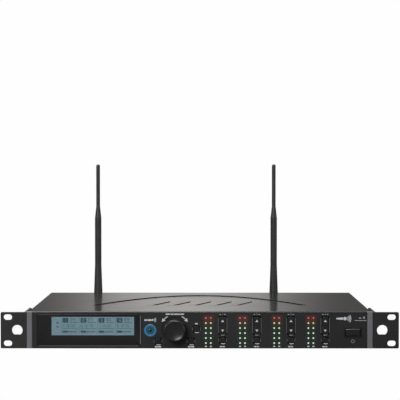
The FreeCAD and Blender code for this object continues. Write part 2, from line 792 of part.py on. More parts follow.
def upright_slot(drawing, y, z, long, radius):
    """An upright slot with round ends."""
    reach = long / 2 - radius
    outline(drawing, [
        (y + radius, z - reach), (y + radius, z + reach), (y, z + reach + radius, radius),
        (y - radius, z + reach, radius), (y - radius, z - reach),
        (y, z - reach - radius, radius), (y + radius, z - reach, radius),
    ][1:])


def side_openings(piece):
    """Screw holes and cooling slots through both sides of a folded sheet."""
    sides = sketch(piece, "YZ")
    for y, z in cover_screw_places() + ear_screw_places():
        circle(sides, y, z, s.screw_radius + s.fit_gap / 2)
    cut_through(piece, sides)
    vent = sketch(piece, "YZ")
    upright_slot(vent, s.vent_start, MID_TALL, s.vent_long, s.vent_radius)
    first = cut_through(piece, vent)
    count = int(s.vent_count.value)
    along(piece, [first], "Y", s.vent_pitch * (s.vent_count - 1), count)


def base_chassis():
    """Folded steel tray: bottom, two sides and a front wall with two windows."""
    piece = body("base_chassis")
    section = sketch(piece, "XZ", s.panel_deep)
    outline(section, [
        (-WALL_OUT, 0), (WALL_OUT, 0), (WALL_OUT, WALL_TOP), (WALL_IN, WALL_TOP),
        (WALL_IN, s.sheet_thick), (-WALL_IN, s.sheet_thick), (-WALL_IN, WALL_TOP),
        (-WALL_OUT, WALL_TOP),
    ])
    pad(piece, section, REAR_IN - s.panel_deep)
    wall = sketch(piece, "XZ", s.panel_deep)
    rectangle(wall, -WALL_OUT, WALL_OUT, 0, WALL_TOP)
    pad(piece, wall, s.sheet_thick)
    windows = sketch(piece, "XZ", s.panel_deep)
    margin = s.window_margin * 2
    rectangle(windows, *centred(s.power_place, s.power_height,
                                s.housing_wide + margin, s.housing_tall + margin))
    rectangle(windows, -WALL_IN / 2, WALL_IN / 2, MID_TALL, WALL_TOP - margin)
    cut(piece, windows, s.sheet_thick)
    side_openings(piece)
    return piece


def arch(drawing, grow):
    """Outline of the pressed arch: a parabola grown by a margin, closed in front."""
    half = s.arch_half + grow
    foot = s.arch_foot - grow
    apex = s.arch_apex + grow
    points = []
    for step in range(-ARCH_STEPS, ARCH_STEPS + 1):
        share = step / ARCH_STEPS
        points.append((-half * share, apex - (apex - foot) * share ** 2))
    outline(drawing, points)


def top_cover():
    """Steel lid: top and two skirts, with a pressed arch and slanted ribs in it."""
    piece = body("top_cover")
    inner = CASE_HALF - s.sheet_thick
    low = s.sheet_thick + s.fit_gap
    section = sketch(piece, "XZ", s.panel_deep)
    outline(section, [
        (-CASE_HALF, low), (-inner, low), (-inner, COVER_UNDER), (inner, COVER_UNDER),
        (inner, low), (CASE_HALF, low), (CASE_HALF, COVER_TOP), (-CASE_HALF, COVER_TOP),
    ])
    pad(piece, section, s.body_deep - s.panel_deep)
    ease(piece, "Fillet", edges(piece, lambda e: runs_along(e, "Y") and flat_at(e, "Z", COVER_TOP)),
         s.sheet_thick)
    under = sketch(piece, "XY", COVER_UNDER)
    arch(under, s.sheet_thick)
    pad(piece, under, s.press_deep, -1)
    floor = sketch(piece, "XY", COVER_TOP)
    arch(floor, 0)
    cut(piece, floor, s.press_deep, -1)
    rib = sketch(piece, "XY", COVER_TOP - s.press_deep)
    row = s.rib_pitch * (s.rib_count - 1)
    left = -(row + s.rib_wide + s.rib_slant) / 2
    outline(rib, [
        (left, s.rib_start), (left + s.rib_wide, s.rib_start),
        (left + s.rib_wide + s.rib_slant, s.rib_start + s.rib_long),
        (left + s.rib_slant, s.rib_start + s.rib_long),
    ])
    first = pad(piece, rib, s.rib_high)
    along(piece, [first], "X", row, int(s.rib_count.value))
    side_openings(piece)
    return piece


def rear_panel():
    """Rear plate with an opening for every socket."""
    piece = body("rear_panel", y=REAR_IN)
    plate = sketch(piece, "XZ")
    rectangle(plate, -WALL_OUT, WALL_OUT, 0, COVER_UNDER - s.fit_gap)
    pad(piece, plate, s.rear_thick)
    holes = sketch(piece, "XZ")
    for x in (s.antenna_left, s.antenna_right):
        circle(holes, x, s.axis_height, s.bnc_barrel + s.fit_gap)
    for number in range(CHANNELS):
        circle(holes, plug_x(number), s.plug_height, s.plug_shell + s.fit_gap)
        for across, up in plug_screw_offsets():
            circle(holes, plug_x(number) + across, s.plug_height + up,
                   s.screw_radius + s.fit_gap / 2)
    for x in jack_places():
        circle(holes, x, s.plug_height, s.jack_barrel + s.fit_gap)
    for x, z in rear_screw_places():
        circle(holes, x, z, s.screw_radius + s.fit_gap / 2)
    rectangle(holes, *centred(s.inlet_place, s.inlet_height,
                              s.inlet_body_wide + s.fit_gap * 2,
                              s.inlet_body_tall + s.fit_gap * 2))
    cut_through(piece, holes)
    return piece


def rack_ear(label, side):
    """L-shaped bracket with two rack slots and a D-shaped hole."""
    piece = body(label)
    plan = sketch(piece, "XY")
    outer = s.rack_width / 2 * side
    inner = EAR_IN * side
    knee = EAR_OUT * side
    corners = [(inner, 0), (outer, 0), (outer, s.ear_thick), (knee, s.ear_thick),
               (knee, s.ear_deep), (inner, s.ear_deep)]
    outline(plan, corners if side > 0 else corners[::-1])
    pad(piece, plan, s.unit_tall)
    ease(piece, "Fillet", edges(piece, lambda e: runs_along(e, "Z")
         and flat_at(e, "X", knee) and flat_at(e, "Y", s.ear_thick)), s.ear_bend)
    ease(piece, "Fillet", edges(piece, lambda e: runs_along(e, "Y")
         and flat_at(e, "X", outer)), s.ear_thick / 2)
    holes = sketch(piece, "XZ")
    for up in SIDES:
        x = s.slot_span / 2 * side
        z = MID_TALL + s.slot_pitch / 2 * up
        radius = s.slot_wide / 2
        slot(holes, x, z, s.slot_long, radius)
    dee(holes, (s.rack_width / 2 - s.dee_inset) * side)
    cut_through(piece, holes)
    flange = sketch(piece, "YZ")
    for y, z in ear_screw_places():
        circle(flange, y, z, s.screw_radius + s.fit_gap / 2)
    cut_through(piece, flange)
    return piece


def dee(drawing, x):
    """The D-shaped hole: a circle with a flat below."""
    half = math.sqrt(s.dee_radius.value ** 2 - s.dee_flat.value ** 2)
    side = Dim(half, f"sqrt({(s.dee_radius * s.dee_radius - s.dee_flat * s.dee_flat).text})")
    low = MID_TALL - s.dee_flat
    outline(drawing, [
        (x + side, low), (x + s.dee_radius, MID_TALL, s.dee_radius),
        (x, MID_TALL + s.dee_radius, s.dee_radius),
        (x - s.dee_radius, MID_TALL, s.dee_radius), (x - side, low, s.dee_radius),
    ])


def trim_strip(label, side):
    """Satin strip that ends the front panel."""
    piece = body(label)
    face = sketch(piece, "XZ")
    inner = (CASE_HALF - s.strip_wide - s.fit_gap / 2) * side
    outer = (CASE_HALF - s.fit_gap / 2) * side
    low, high = (inner, outer) if side > 0 else (outer, inner)
    rectangle(face, low, high, 0, s.unit_tall)
    pad(piece, face, s.panel_deep - s.fit_gap)
    ease(piece, "Fillet", edges(piece, lambda e: runs_along(e, "Z") and flat_at(e, "Y", 0)),
         s.strip_round)
    return piece


# ---------------------------------------------------------------- front panel

def key_hole(drawing, x, z, wide, tall):
    """The opening of a key, before its bevel."""
    rounded(drawing, *centred(x, z, wide, tall), s.key_round + s.move_gap)


def front_panel():
    """Moulded panel: plate and rim, with seats and openings for everything it carries."""
    piece = body("front_panel")
    face = sketch(piece, "XZ")
    rectangle(face, -PANEL_HALF, PANEL_HALF, 0, s.unit_tall)
    pad(piece, face, s.panel_deep - s.fit_gap)
    hollow = sketch(piece, "XZ", s.plate_thick)
    rectangle(hollow, -PANEL_HALF + s.rim_thick, PANEL_HALF - s.rim_thick,
              s.rim_thick, s.unit_tall - s.rim_thick)
    cut(piece, hollow, s.panel_deep)
    seat = sketch(piece, "XZ")
    gap = s.fit_gap / 2
    rounded(seat, s.lens_left - gap, s.lens_right + gap, s.lens_low - gap, s.lens_high + gap,
            s.lens_round + gap)
    cut(piece, seat, s.lens_sink)
    well = sketch(piece, "XZ")
    circle(well, s.knob_place, s.knob_height, s.well_radius)
    cut(piece, well, s.well_deep)
    holes = sketch(piece, "XZ")
    ledge = s.lens_ledge
    rectangle(holes, s.lens_left + ledge, s.lens_right - ledge,
              s.lens_low + ledge, s.lens_high - ledge)
    circle(holes, s.knob_place, s.knob_height, s.bush_radius + s.fit_gap)
    circle(holes, s.port_place, s.port_height, s.port_outer + gap)
    rectangle(holes, *centred(s.power_place, s.power_height,
                              s.housing_wide + s.fit_gap, s.housing_tall + s.fit_gap))
    cut(piece, holes, s.panel_deep)
    keys = sketch(piece, "XZ")
    for _, x, z in push_keys()[:-CHANNELS]:
        key_hole(keys, x, z, s.key_wide + s.move_gap * 2, s.key_tall + s.move_gap * 2)
    cut(piece, keys, s.panel_deep)
    channel = sketch(piece, "XZ")
    x = channel_x(0)
    key_hole(channel, x, s.select_height,
             s.key_wide + s.move_gap * 2, s.key_tall + s.move_gap * 2)
    key_hole(channel, x, s.volume_height,
             s.volume_wide + s.move_gap * 2, s.volume_tall + s.volume_end_gap * 2)
    openings = cut(piece, channel, s.panel_deep)
    lights = sketch(piece, "XZ")
    for column in (s.light_outer, s.light_inner):
        for row in range(LIGHT_ROWS):
            circle(lights, x + column, s.light_low + s.light_pitch * row,
                   s.light_radius + s.fit_gap / 2)
    dots = cut(piece, lights, s.panel_deep)
    lug = sketch(piece, "XZ", s.plate_thick)
    for side in SIDES:
        middle = x + (s.lug_inner + s.lug_wide / 2) * side
        rectangle(lug, *centred(middle, s.volume_height, s.lug_wide, s.lug_tall))
    lugs = pad(piece, lug, s.lug_deep)
    reach = s.lug_inner + s.lug_wide + s.fit_gap
    bearing = sketch(piece, "YZ", x - reach)
    circle(bearing, s.pivot_deep, s.volume_height, s.pivot_radius + s.run_gap)
    bearings = cut(piece, bearing, reach * 2)
    along(piece, [openings, dots, lugs, bearings], "X", s.channel_pitch * (CHANNELS - 1), CHANNELS)
    bevel_keys(piece)
    return piece


def bevel_keys(piece):
    """Bevels the front edge of every key opening."""
    middles = [(dim(x).value, dim(z).value) for _, x, z in push_keys()]
    middles += [(channel_x(n).value, s.volume_height.value) for n in range(CHANNELS)]
    half_wide = s.volume_wide.value / 2 + s.move_gap.value
    half_tall = s.volume_tall.value / 2 + s.volume_end_gap.value

    def on_key(edge):
        if not flat_at(edge, "Y", 0):
            return False
        box = edge.BoundBox
        return any(box.XMin > x - half_wide - 0.01 and box.XMax < x + half_wide + 0.01
                   and box.ZMin > z - half_tall - 0.01 and box.ZMax < z + half_tall + 0.01
                   for x, z in middles)

    ease(piece, "Chamfer", edges(piece, on_key), s.hole_bevel)


def display_window():
    """Dark acrylic window that stands a little proud of the panel."""
    piece = body("display_window")
    face = sketch(piece, "XZ", -s.lens_stand)
    rounded(face, s.lens_left, s.lens_right, s.lens_low, s.lens_high, s.lens_round)
    pad(piece, face, s.lens_sink + s.lens_stand)
    ease(piece, "Chamfer", edges(piece, lambda e: flat_at(e, "Y", -s.lens_stand)), s.lens_bevel)
    return piece


def screen_sides(margin):
    """Left, right, low and high sides of the screen with a margin round it."""
    return (s.screen_left - margin, s.screen_right + margin,
            s.screen_low - margin, s.screen_high + margin)


def lcd_glass():
    """Screen glass behind the window."""
    piece = body("lcd_glass")
    face = sketch(piece, "XZ", s.plate_thick + s.fit_gap)
    rectangle(face, *screen_sides(s.glass_margin))
    pad(piece, face, s.glass_thick)
    return piece


def lcd_frame():
    """Metal tray that holds the screen glass on the control board."""
    piece = body("lcd_frame")
    front = s.plate_thick + s.fit_gap
    face = sketch(piece, "XZ", front)
    rectangle(face, *screen_sides(s.glass_margin + s.frame_wall))
    pad(piece, face, s.board_front - front)
    seat = sketch(piece, "XZ", front)
    rectangle(seat, *screen_sides(s.glass_margin + s.fit_gap / 4))
    cut(piece, seat, s.glass_thick)
    return piece


def sync_light_ring():
    """Light ring with a flange behind the panel."""
    piece = body("sync_light_ring", s.port_place, 0, s.port_height)
    profile = sketch(piece, "XY")
    behind = s.plate_thick + s.fit_gap
    edge = s.port_edge
    outline(profile, [
        (s.port_inner, edge - s.port_stand), (s.port_inner + edge, -s.port_stand),
        (s.port_outer - edge, -s.port_stand), (s.port_outer, edge - s.port_stand),
        (s.port_outer, behind), (s.port_outer + s.port_lip, behind),
        (s.port_outer + s.port_lip, behind + s.port_lip_thick),
        (s.port_inner, behind + s.port_lip_thick),
    ])
    turn(piece, profile)
    return piece


def sync_button():
    """Round button inside the light ring."""
    piece = body("sync_button", s.port_place, 0, s.port_height)
    profile = sketch(piece, "XY")
    radius = s.port_inner - s.move_gap
    stand, edge = s.button_stand, s.button_edge
    lip = s.key_back - s.button_lip_thick
    outline(profile, [
        (0, s.button_dish - stand), (s.button_dish_inner, s.button_dish - stand),
        (s.button_dish_outer, -stand), (radius - edge, -stand), (radius, edge - stand),
        (radius, lip), (radius + s.button_lip, lip), (radius + s.button_lip, s.key_back),
        (0, s.key_back),
    ])
    turn(piece, profile)
    return piece


def push_key(label, x, z):
    """Rounded key with a rim behind the panel."""
    piece = body(label, x, 0, z)
    face = sketch(piece, "XZ", -s.key_stand)
    rounded(face, *centred(0, 0, s.key_wide, s.key_tall), s.key_round)
    pad(piece, face, s.key_back + s.key_stand)
    ease(piece, "Fillet", edges(piece, lambda e: flat_at(e, "Y", -s.key_stand)), s.key_edge)
    rim = sketch(piece, "XZ", s.key_back - s.key_flange)
    rectangle(rim, *centred(0, 0, s.key_wide + s.key_lip * 2, s.key_tall))
    pad(piece, rim, s.key_flange)
    return piece


def volume_key(label, x):
    """Tall rocking key on a pivot, with a shallow waist between its two ends."""
    piece = body(label, x, 0, s.volume_height)
    face = sketch(piece, "XZ", -s.key_stand)
    rounded(face, *centred(0, 0, s.volume_wide, s.volume_tall), s.key_round)
    pad(piece, face, s.key_back - s.volume_back_gap + s.key_stand)
    ease(piece, "Fillet", edges(piece, lambda e: flat_at(e, "Y", -s.key_stand)), s.volume_edge)
    waist = sketch(piece, "YZ", -s.volume_wide)
    mouth = -s.key_stand - 1
    outline(waist, [
        (mouth, -s.waist_half), (s.waist_deep - s.key_stand, 0), (mouth, s.waist_half),
    ])
    cut(piece, waist, s.volume_wide * 2)
    pivot = sketch(piece, "YZ")
    circle(pivot, s.pivot_deep, 0, s.pivot_radius)
    pad_both(piece, pivot, s.pivot_reach * 2)
    return piece


# ---------------------------------------------------------------- encoder and knob

def encoder_knob():
    """Turned knob: bevelled and dished face, hollow back, grip flutes on its side."""
    piece = body("encoder_knob", s.knob_place, 0, s.knob_height)
    profile = sketch(piece, "XY")
    face = -s.knob_stand
    back = -s.knob_gap
    hollow = s.knob_radius - s.knob_wall
    crown = s.knob_radius - s.knob_bevel
    bore = s.shaft_radius + s.run_gap
    nut_room = s.coder_front - s.bush_long - s.push_travel * 2 - s.knob_nut_room
    dish = s.knob_dish
    chord = crown - s.knob_land
    radius = (chord * chord + dish * dish) / (dish * 2)
    outline(profile, [
        (0, face + s.knob_cap), (bore, face + s.knob_cap), (bore, nut_room),
        (hollow, nut_room), (hollow, back), (s.knob_radius, back),
        (s.knob_radius, face + s.knob_bevel_deep), (crown, face), (chord, face),
        (0, face + dish, radius),
    ])
    turn(piece, profile)
    flute = sketch(piece, "XZ", back)
    circle(flute, s.knob_radius + s.flute_radius / 3, 0, s.flute_radius)
    first = cut(piece, flute, s.flute_long, -1)
    around(piece, [first], "Y", FLUTES)
    return piece


def encoder_shaft():
    """Shaft that the knob is pressed on."""
    start = -s.knob_stand + s.knob_cap + s.move_gap
    return rod("encoder_shaft", "Y", (s.knob_place, start, s.knob_height), s.shaft_radius,
               s.board_front - s.shaft_end_gap - start)


def encoder_body():
    """Encoder with its threaded bush, and the nut that holds it to the panel."""
    piece = body("encoder_case", s.knob_place, 0, s.knob_height)
    side = s.coder_side / 2
    block_face = sketch(piece, "XZ", s.coder_front)
    rectangle(block_face, -side, side, -side, side)
    pad(piece, block_face, s.board_front - s.coder_front)
    bush_start = s.coder_front - s.bush_long
    bush = sketch(piece, "XZ", bush_start)
    circle(bush, 0, 0, s.bush_radius)
    pad(piece, bush, s.bush_long)
    bore = sketch(piece, "XZ", bush_start)
    circle(bore, 0, 0, s.shaft_radius + s.run_gap)
    cut(piece, bore, s.board_front - s.coder_floor - bush_start)
    nut = body("encoder_nut", s.knob_place, 0, s.knob_height)
    ring = sketch(nut, "XZ", s.well_deep - s.nut_thick)
    corner = s.nut_half_flat * 2 / math.sqrt(3)
    outline(ring, [(corner * math.cos(math.pi / 3 * n), corner * math.sin(math.pi / 3 * n))
                   for n in range(6)])
    pad(nut, ring, s.nut_thick)
    inside = sketch(nut, "XZ")
    circle(inside, 0, 0, s.bush_radius)
    cut_through(nut, inside)
    return group("encoder_body", [piece, nut])


# ---------------------------------------------------------------- lights and switches

def level_lights(label, rows):
    """The lights of one colour in all four channels."""
    pieces = []
    for number in range(CHANNELS):
        for column in (s.light_outer, s.light_inner):
            for row in rows:
                z = s.light_low + s.light_pitch * row
                start = (channel_x(number) + column, -s.light_stand, z)
                pieces.append(rod(f"{label}_lamp", "Y", start, s.light_radius,
                                  s.board_front + s.light_stand))
    return group(label, pieces)


def tact_switches():
    """A small switch on the control board behind every key."""
    spots = [(x, z) for _, x, z in push_keys()]
    spots.append((s.port_place, s.port_height))
    for number in range(CHANNELS):
        for side in SIDES:
            spots.append((channel_x(number), s.volume_height + s.volume_tall / 3 * side))
    front = s.key_back + s.key_travel + s.fit_gap
    made = []
    for x, z in spots:
        half = s.switch_side / 2
        case = block("switch_case", (x - half, x + half), (front + s.stem_long, s.board_front),
                     (z - half, z + half))
        stem = rod("switch_stem", "Y", (x, front, z), s.stem_radius, s.stem_long * 2)
        made.append(fused("switch", [case, stem]))
    return group("tact_switches", made)


def control_board():
    """Circuit board behind the front panel."""
    margin = s.rim_thick + s.board_rim
    end = s.power_place - s.housing_wide / 2 - s.board_end
    return block("control_board", (-PANEL_HALF + margin, end),
                 (s.board_front, s.board_front + s.board_thick),
                 (margin, s.unit_tall - margin))


# ---------------------------------------------------------------- power switch

def power_switch_housing():
    """Bezel and box of the power switch, open in front."""
    piece = body("power_switch_housing", s.power_place, 0, s.power_height)
    bezel = sketch(piece, "XZ", -s.bezel_stand)
    rounded(bezel, *centred(0, 0, s.bezel_wide, s.bezel_tall), s.bezel_round)
    pad(piece, bezel, s.bezel_stand)
    ease(piece, "Chamfer", edges(piece, lambda e: flat_at(e, "Y", -s.bezel_stand)),
         s.bezel_bevel)
    box = sketch(piece, "XZ")
    rectangle(box, *centred(0, 0, s.housing_wide, s.housing_tall))
    pad(piece, box, s.housing_deep)
    mouth = sketch(piece, "XZ", -s.bezel_stand)
    rectangle(mouth, *centred(0, 0, s.rocker_radius * 2 + s.move_gap * 2,
                              s.rocker_tall + s.move_gap * 2))
    cut(piece, mouth, s.housing_deep - s.housing_floor + s.bezel_stand)
    axle = sketch(piece, "XY")
    circle(axle, 0, s.rocker_pivot, s.axle_radius + s.run_gap)
    cut_through(piece, axle)
    return piece


def power_rocker():
    """Rocker with a hollow face, drawn level and tilted into its on position."""
    piece = body("power_rocker", s.power_place, s.rocker_pivot, s.power_height)
    lean = math.radians(s.rocker_tilt.value)
    radius = s.rocker_radius.value
    rise = s.rocker_pivot.value - s.rocker_edge.value
    edge = math.asin(rise / radius)
    skirt = math.radians(s.rocker_skirt.value)

    def on_rim(angle, *arc):
        return (s.rocker_radius * math.cos(angle + lean),
                s.rocker_radius * math.sin(angle + lean), *arc)

    waist = s.rocker_waist - s.rocker_pivot
    plan = sketch(piece, "XY", -s.rocker_tall / 2)
    outline(plan, [
        (-waist * math.sin(lean), waist * math.cos(lean)),
        on_rim(-edge), on_rim(skirt, s.rocker_radius),
        on_rim(math.pi - skirt), on_rim(math.pi + edge, s.rocker_radius),
    ])
    pad(piece, plan, s.rocker_tall)
    pins = sketch(piece, "XY")
    circle(pins, 0, 0, s.axle_radius)
    pad_both(piece, pins, s.housing_tall - s.axle_end_gap * 2)
    return piece


# ---------------------------------------------------------------- rear sockets

def xlr_socket(label, x):
    """Shell of a balanced output: square flange, round shell and raised rim."""
    piece = body(label, x, s.body_deep, s.plug_height)
    flange = sketch(piece, "XZ")
    rounded(flange, *centred(0, 0, s.plug_flange_wide, s.plug_flange_tall), s.plug_flange_round)
    pad(piece, flange, s.plug_flange_thick)
    rim = sketch(piece, "XZ")
    circle(rim, 0, 0, s.plug_shell)
    pad(piece, rim, s.plug_flange_thick + s.plug_rim)
    shell = sketch(piece, "XZ", -s.plug_deep)
    circle(shell, 0, 0, s.plug_shell)
    pad(piece, shell, s.plug_deep)
    cavity = sketch(piece, "XZ", s.plug_floor - s.plug_deep)
    circle(cavity, 0, 0, s.plug_cavity)
    cut(piece, cavity, s.plug_deep + s.plug_flange_thick + s.plug_rim)
    key = sketch(piece, "XZ", -s.plug_deep)
    rectangle(key, -s.plug_key_wide / 2, s.plug_key_wide / 2,
              s.plug_cavity - s.plug_key_tall, (s.plug_cavity + s.plug_shell) / 2)
    pad(piece, key, s.plug_deep + s.plug_flange_thick)
    holes = sketch(piece, "XZ")
    for across, up in plug_screw_offsets():
        circle(holes, across, up, s.screw_radius + s.fit_gap / 2)
    cut_through(piece, holes)
    return piece


def xlr_pins():
    """Three contact pins in each balanced output."""
    pins = []
    floor = s.body_deep - s.plug_deep + s.plug_floor
    long = s.plug_deep - s.plug_floor + s.plug_flange_thick + s.plug_rim - s.pin_sink
    for number in range(CHANNELS):
        for angle in (-30, 90, 210):
            across = s.pin_circle * math.cos(math.radians(angle))
            up = -s.pin_circle * math.sin(math.radians(angle))
            start = (plug_x(number) + across, floor, s.plug_height + up)
            pins.append(rod("contact_pin", "Y", start, s.pin_radius, long))
    return group("xlr_pins", pins)


def jack_sockets():
    """Jack sockets, each with its nut as a solid of its own."""
    made = []
    for x in jack_places():
        socket = body("jack_case", x, s.body_deep, s.plug_height)
        half = s.jack_body / 2
        box = sketch(socket, "XZ", -s.rear_thick - s.jack_deep)
        rectangle(box, -half, half, -half, half)
        pad(socket, box, s.jack_deep)
        barrel = sketch(socket, "XZ", -s.rear_thick)
        circle(barrel, 0, 0, s.jack_barrel)
        pad(socket, barrel, s.rear_thick + s.jack_stand)
        bore = sketch(socket, "XZ", s.jack_stand)
        circle(bore, 0, 0, s.jack_bore)
        cut(socket, bore, s.jack_stand + s.rear_thick + s.jack_deep - s.jack_floor, -1)
        nut = body("jack_nut", x, s.body_deep, s.plug_height)
        ring = sketch(nut, "XZ")
        circle(ring, 0, 0, s.jack_nut)
        circle(ring, 0, 0, s.jack_barrel)
        pad(nut, ring, s.jack_nut_thick)
        made += [socket, nut]
    return group("jack_sockets", made)


def power_inlet():
    """Mains inlet: flange, body and a mouth with two slanted corners."""
    piece = body("inlet_case", s.inlet_place, s.body_deep, s.inlet_height)
    flange = sketch(piece, "XZ")
    rounded(flange, *centred(0, 0, s.inlet_flange_wide, s.inlet_flange_tall),
            s.inlet_flange_round)
    pad(piece, flange, s.inlet_flange_thick)
    box = sketch(piece, "XZ", -s.inlet_body_deep)
    rectangle(box, *centred(0, 0, s.inlet_body_wide, s.inlet_body_tall))
    pad(piece, box, s.inlet_body_deep)
    left, right, low, high = centred(0, 0, s.inlet_mouth_wide, s.inlet_mouth_tall)
    mouth = sketch(piece, "XZ", s.inlet_flange_thick)
    outline(mouth, [
        (left, low), (right, low), (right, high - s.inlet_cut), (right - s.inlet_cut, high),
        (left + s.inlet_cut, high), (left, high - s.inlet_cut),
    ])
    cut(piece, mouth, s.inlet_mouth_deep, -1)
    blades = []
    floor = s.inlet_flange_thick - s.inlet_mouth_deep
    for across, up in ((-s.blade_step, s.blade_low), (0, s.blade_high),
                       (s.blade_step, s.blade_low)):
        left, right, low, high = centred(s.inlet_place + across, s.inlet_height + up,
                                         s.blade_thick, s.blade_tall)
        blades.append(block(
            "contact_blade", (left, right),
            (s.body_deep + floor, s.body_deep + s.inlet_flange_thick - s.blade_sink),
            (low, high)))
    screws = []
    for side in SIDES:
        x = s.inlet_place + (s.inlet_flange_wide - s.inlet_body_wide) / 4 * side
        x = x + s.inlet_body_wide / 2 * side
        screws.append(rod("inlet_screw", "Y",
                          (x, s.body_deep + s.inlet_flange_thick, s.inlet_height),
                          s.screw_head, s.screw_head_tall))
    return group("power_inlet", [piece] + blades + screws)


def bnc_sockets():
    """Antenna sockets: flange, barrel with a bore, and two bayonet lugs."""
    made = []
    for x in (s.antenna_left, s.antenna_right):
        piece = body("antenna_socket", x, s.body_deep, s.axis_height)
        profile = sketch(piece, "XY")
        barrel, wide, inner = s.bnc_barrel, s.collar_radius, s.bnc_bore
        behind = -s.rear_thick
        tail = behind - s.bnc_tail
        nut = behind - s.bnc_nut
        outline(profile, [
            (0, tail), (barrel, tail), (barrel, nut), (wide, nut), (wide, behind),
            (barrel, behind), (barrel, 0), (wide, 0), (wide, s.bnc_flange),
            (barrel, s.bnc_flange), (barrel, s.bnc_stand), (inner, s.bnc_stand),
            (inner, s.bnc_flange), (0, s.bnc_flange),
        ])
        turn(piece, profile)
        lug = sketch(piece, "YZ")
        circle(lug, s.bnc_stand - s.bnc_lug_back, 0, s.bnc_lug_radius)
        pad_both(piece, lug, s.bnc_lug * 2)
        bore = sketch(piece, "XZ", s.bnc_flange)
        circle(bore, 0, 0, inner)
        cut(piece, bore, s.bnc_stand)
        made.append(piece)
    return group("bnc_sockets", made)


def bnc_collars():
    """Knurled bayonet collars, locked on the antenna sockets."""
    made = []
    for x in (s.antenna_left, s.antenna_right):
        piece = body("bayonet_collar", x, s.body_deep, s.axis_height)
        profile = sketch(piece, "XY")
        floor = s.collar_end - s.collar_wall
        start, end, outer = s.collar_start, s.collar_end, s.collar_radius
        inner = s.stem_radius + s.run_gap
        outline(profile, [
            (s.collar_bore, start), (outer - s.collar_lead, start),
            (outer, start + s.collar_lead), (outer, end - s.collar_bevel),
            (outer - s.collar_bevel, end), (inner, end), (inner, floor), (s.collar_bore, floor),
        ])
        turn(piece, profile)
        groove = sketch(piece, "XZ", start + s.knurl_start)
        circle(groove, outer + s.knurl_out, 0, s.knurl_radius)
        first = cut(piece, groove, end - start)
        around(piece, [first], "Y", KNURLS)
        made.append(piece)
    return group("bnc_collars", made)


# ---------------------------------------------------------------- antennas

def antenna_elbow(label, x):
    """Swivelling fork: inner tube, stem, shoulder and two rounded cheeks."""
    piece = body(label, x, s.body_deep, s.axis_height)
    profile = sketch(piece, "XY")
    tube = s.bnc_bore - s.run_gap
    step = s.bnc_stand + s.stem_step
    outline(profile, [
        (0, s.tube_start), (tube, s.tube_start), (tube, step), (s.stem_radius, step),
        (s.stem_radius, s.fork_start), (s.elbow_radius, s.fork_start),
        (s.elbow_radius, s.fork_floor), (0, s.fork_floor),
    ])
    turn(piece, profile)
    side = sketch(piece, "YZ")
    radius = s.elbow_radius
    outline(side, [
        (s.fork_floor - 1, -radius), (s.whip_offset, -radius),
        (s.whip_offset + radius, 0, radius), (s.whip_offset, radius, radius),
        (s.fork_floor - 1, radius),
    ])
    pad_both(piece, side, radius * 2)
    gap = sketch(piece, "XY")
    half = s.fork_gap / 2
    rectangle(gap, -half, half, s.fork_floor, s.whip_offset + radius * 2)
    cut_through(piece, gap)
    pin_hole = sketch(piece, "YZ")
    circle(pin_hole, s.whip_offset, 0, s.hinge_radius)
    cut_through(piece, pin_hole)

    def on_cheek(edge):
        outside = flat_at(edge, "X", radius) or flat_at(edge, "X", -radius)
        beside_gap = edge.BoundBox.YMin > (s.fork_floor + s.run_gap).value
        is_pin_hole = near(getattr(edge.Curve, "Radius", 0.0), s.hinge_radius)
        return outside and beside_gap and not is_pin_hole and edge.Length > radius.value / 2

    ease(piece, "Chamfer", edges(piece, on_cheek), s.fork_bevel)
    return piece


def hinge_pin(label, x):
    """Pin through the fork and the whip's tongue."""
    radius = s.elbow_radius
    return rod(label, "X", (x - radius, HINGE_Y, s.axis_height), s.hinge_radius, radius * 2)


def antenna_whip(label, x):
    """Moulded whip: flat tongue, thick foot, two tapers and a round tip."""
    piece = body(label, x, HINGE_Y, s.axis_height)
    profile = sketch(piece, "XZ")
    tip = s.whip_tip
    outline(profile, [
        (0, s.whip_shoulder), (s.whip_base - s.whip_edge, s.whip_shoulder),
        (s.whip_base, s.whip_shoulder + s.whip_edge), (s.whip_base, s.whip_base_end),
        (s.whip_middle, s.whip_taper_end), (s.whip_middle, s.whip_step),
        (tip, s.whip_thin), (tip, s.whip_top - tip), (0, s.whip_top, tip),
    ])
    turn(piece, profile)
    tongue = sketch(piece, "YZ")
    radius = s.whip_base - s.move_gap
    outline(tongue, [
        (-radius, s.whip_base_end / 2), (-radius, 0), (0, -radius, radius),
        (radius, 0, radius), (radius, s.whip_base_end / 2),
    ])
    pad_both(piece, tongue, s.tongue_thick)
    eye = sketch(piece, "YZ")
    circle(eye, 0, 0, s.hinge_radius + s.run_gap)
    cut_through(piece, eye)
    return piece


# ---------------------------------------------------------------- inside

def board_back():
    """Rear edge of both boards in the case."""
    return REAR_IN - s.jack_deep - s.board_back_gap


def boards():
    """Main board on the left and power supply board on the right."""
    edge = WALL_IN - s.board_side_gap
    main = block("main_board", (-edge, s.main_right), (s.main_front, board_back()),
                 (BOARD_LOW, BOARD_TOP))
    supply = block("power_supply_board", (s.supply_left, edge), (s.supply_front, board_back()),
                   (BOARD_LOW, BOARD_TOP))
    return [main, supply]


def transformer():
    """Core and winding of the mains transformer."""
    left, right, front, back = centred(s.core_place, s.core_behind, s.core_side, s.core_side)
    core = block("core", (left, right), (front, back), (BOARD_TOP, BOARD_TOP + s.core_tall))
    half = s.coil_long / 2
    coil = block("coil", (left - s.coil_over, right + s.coil_over),
                 (s.core_behind - half, s.core_behind + half),
                 (BOARD_TOP + s.coil_inset, BOARD_TOP + s.core_tall - s.coil_inset))
    return fused("transformer", [core, coil])


def module_left(number):
    """Left side of one receiver module."""
    return s.module_first - WALL_IN + (s.module_wide + s.module_gap) * number


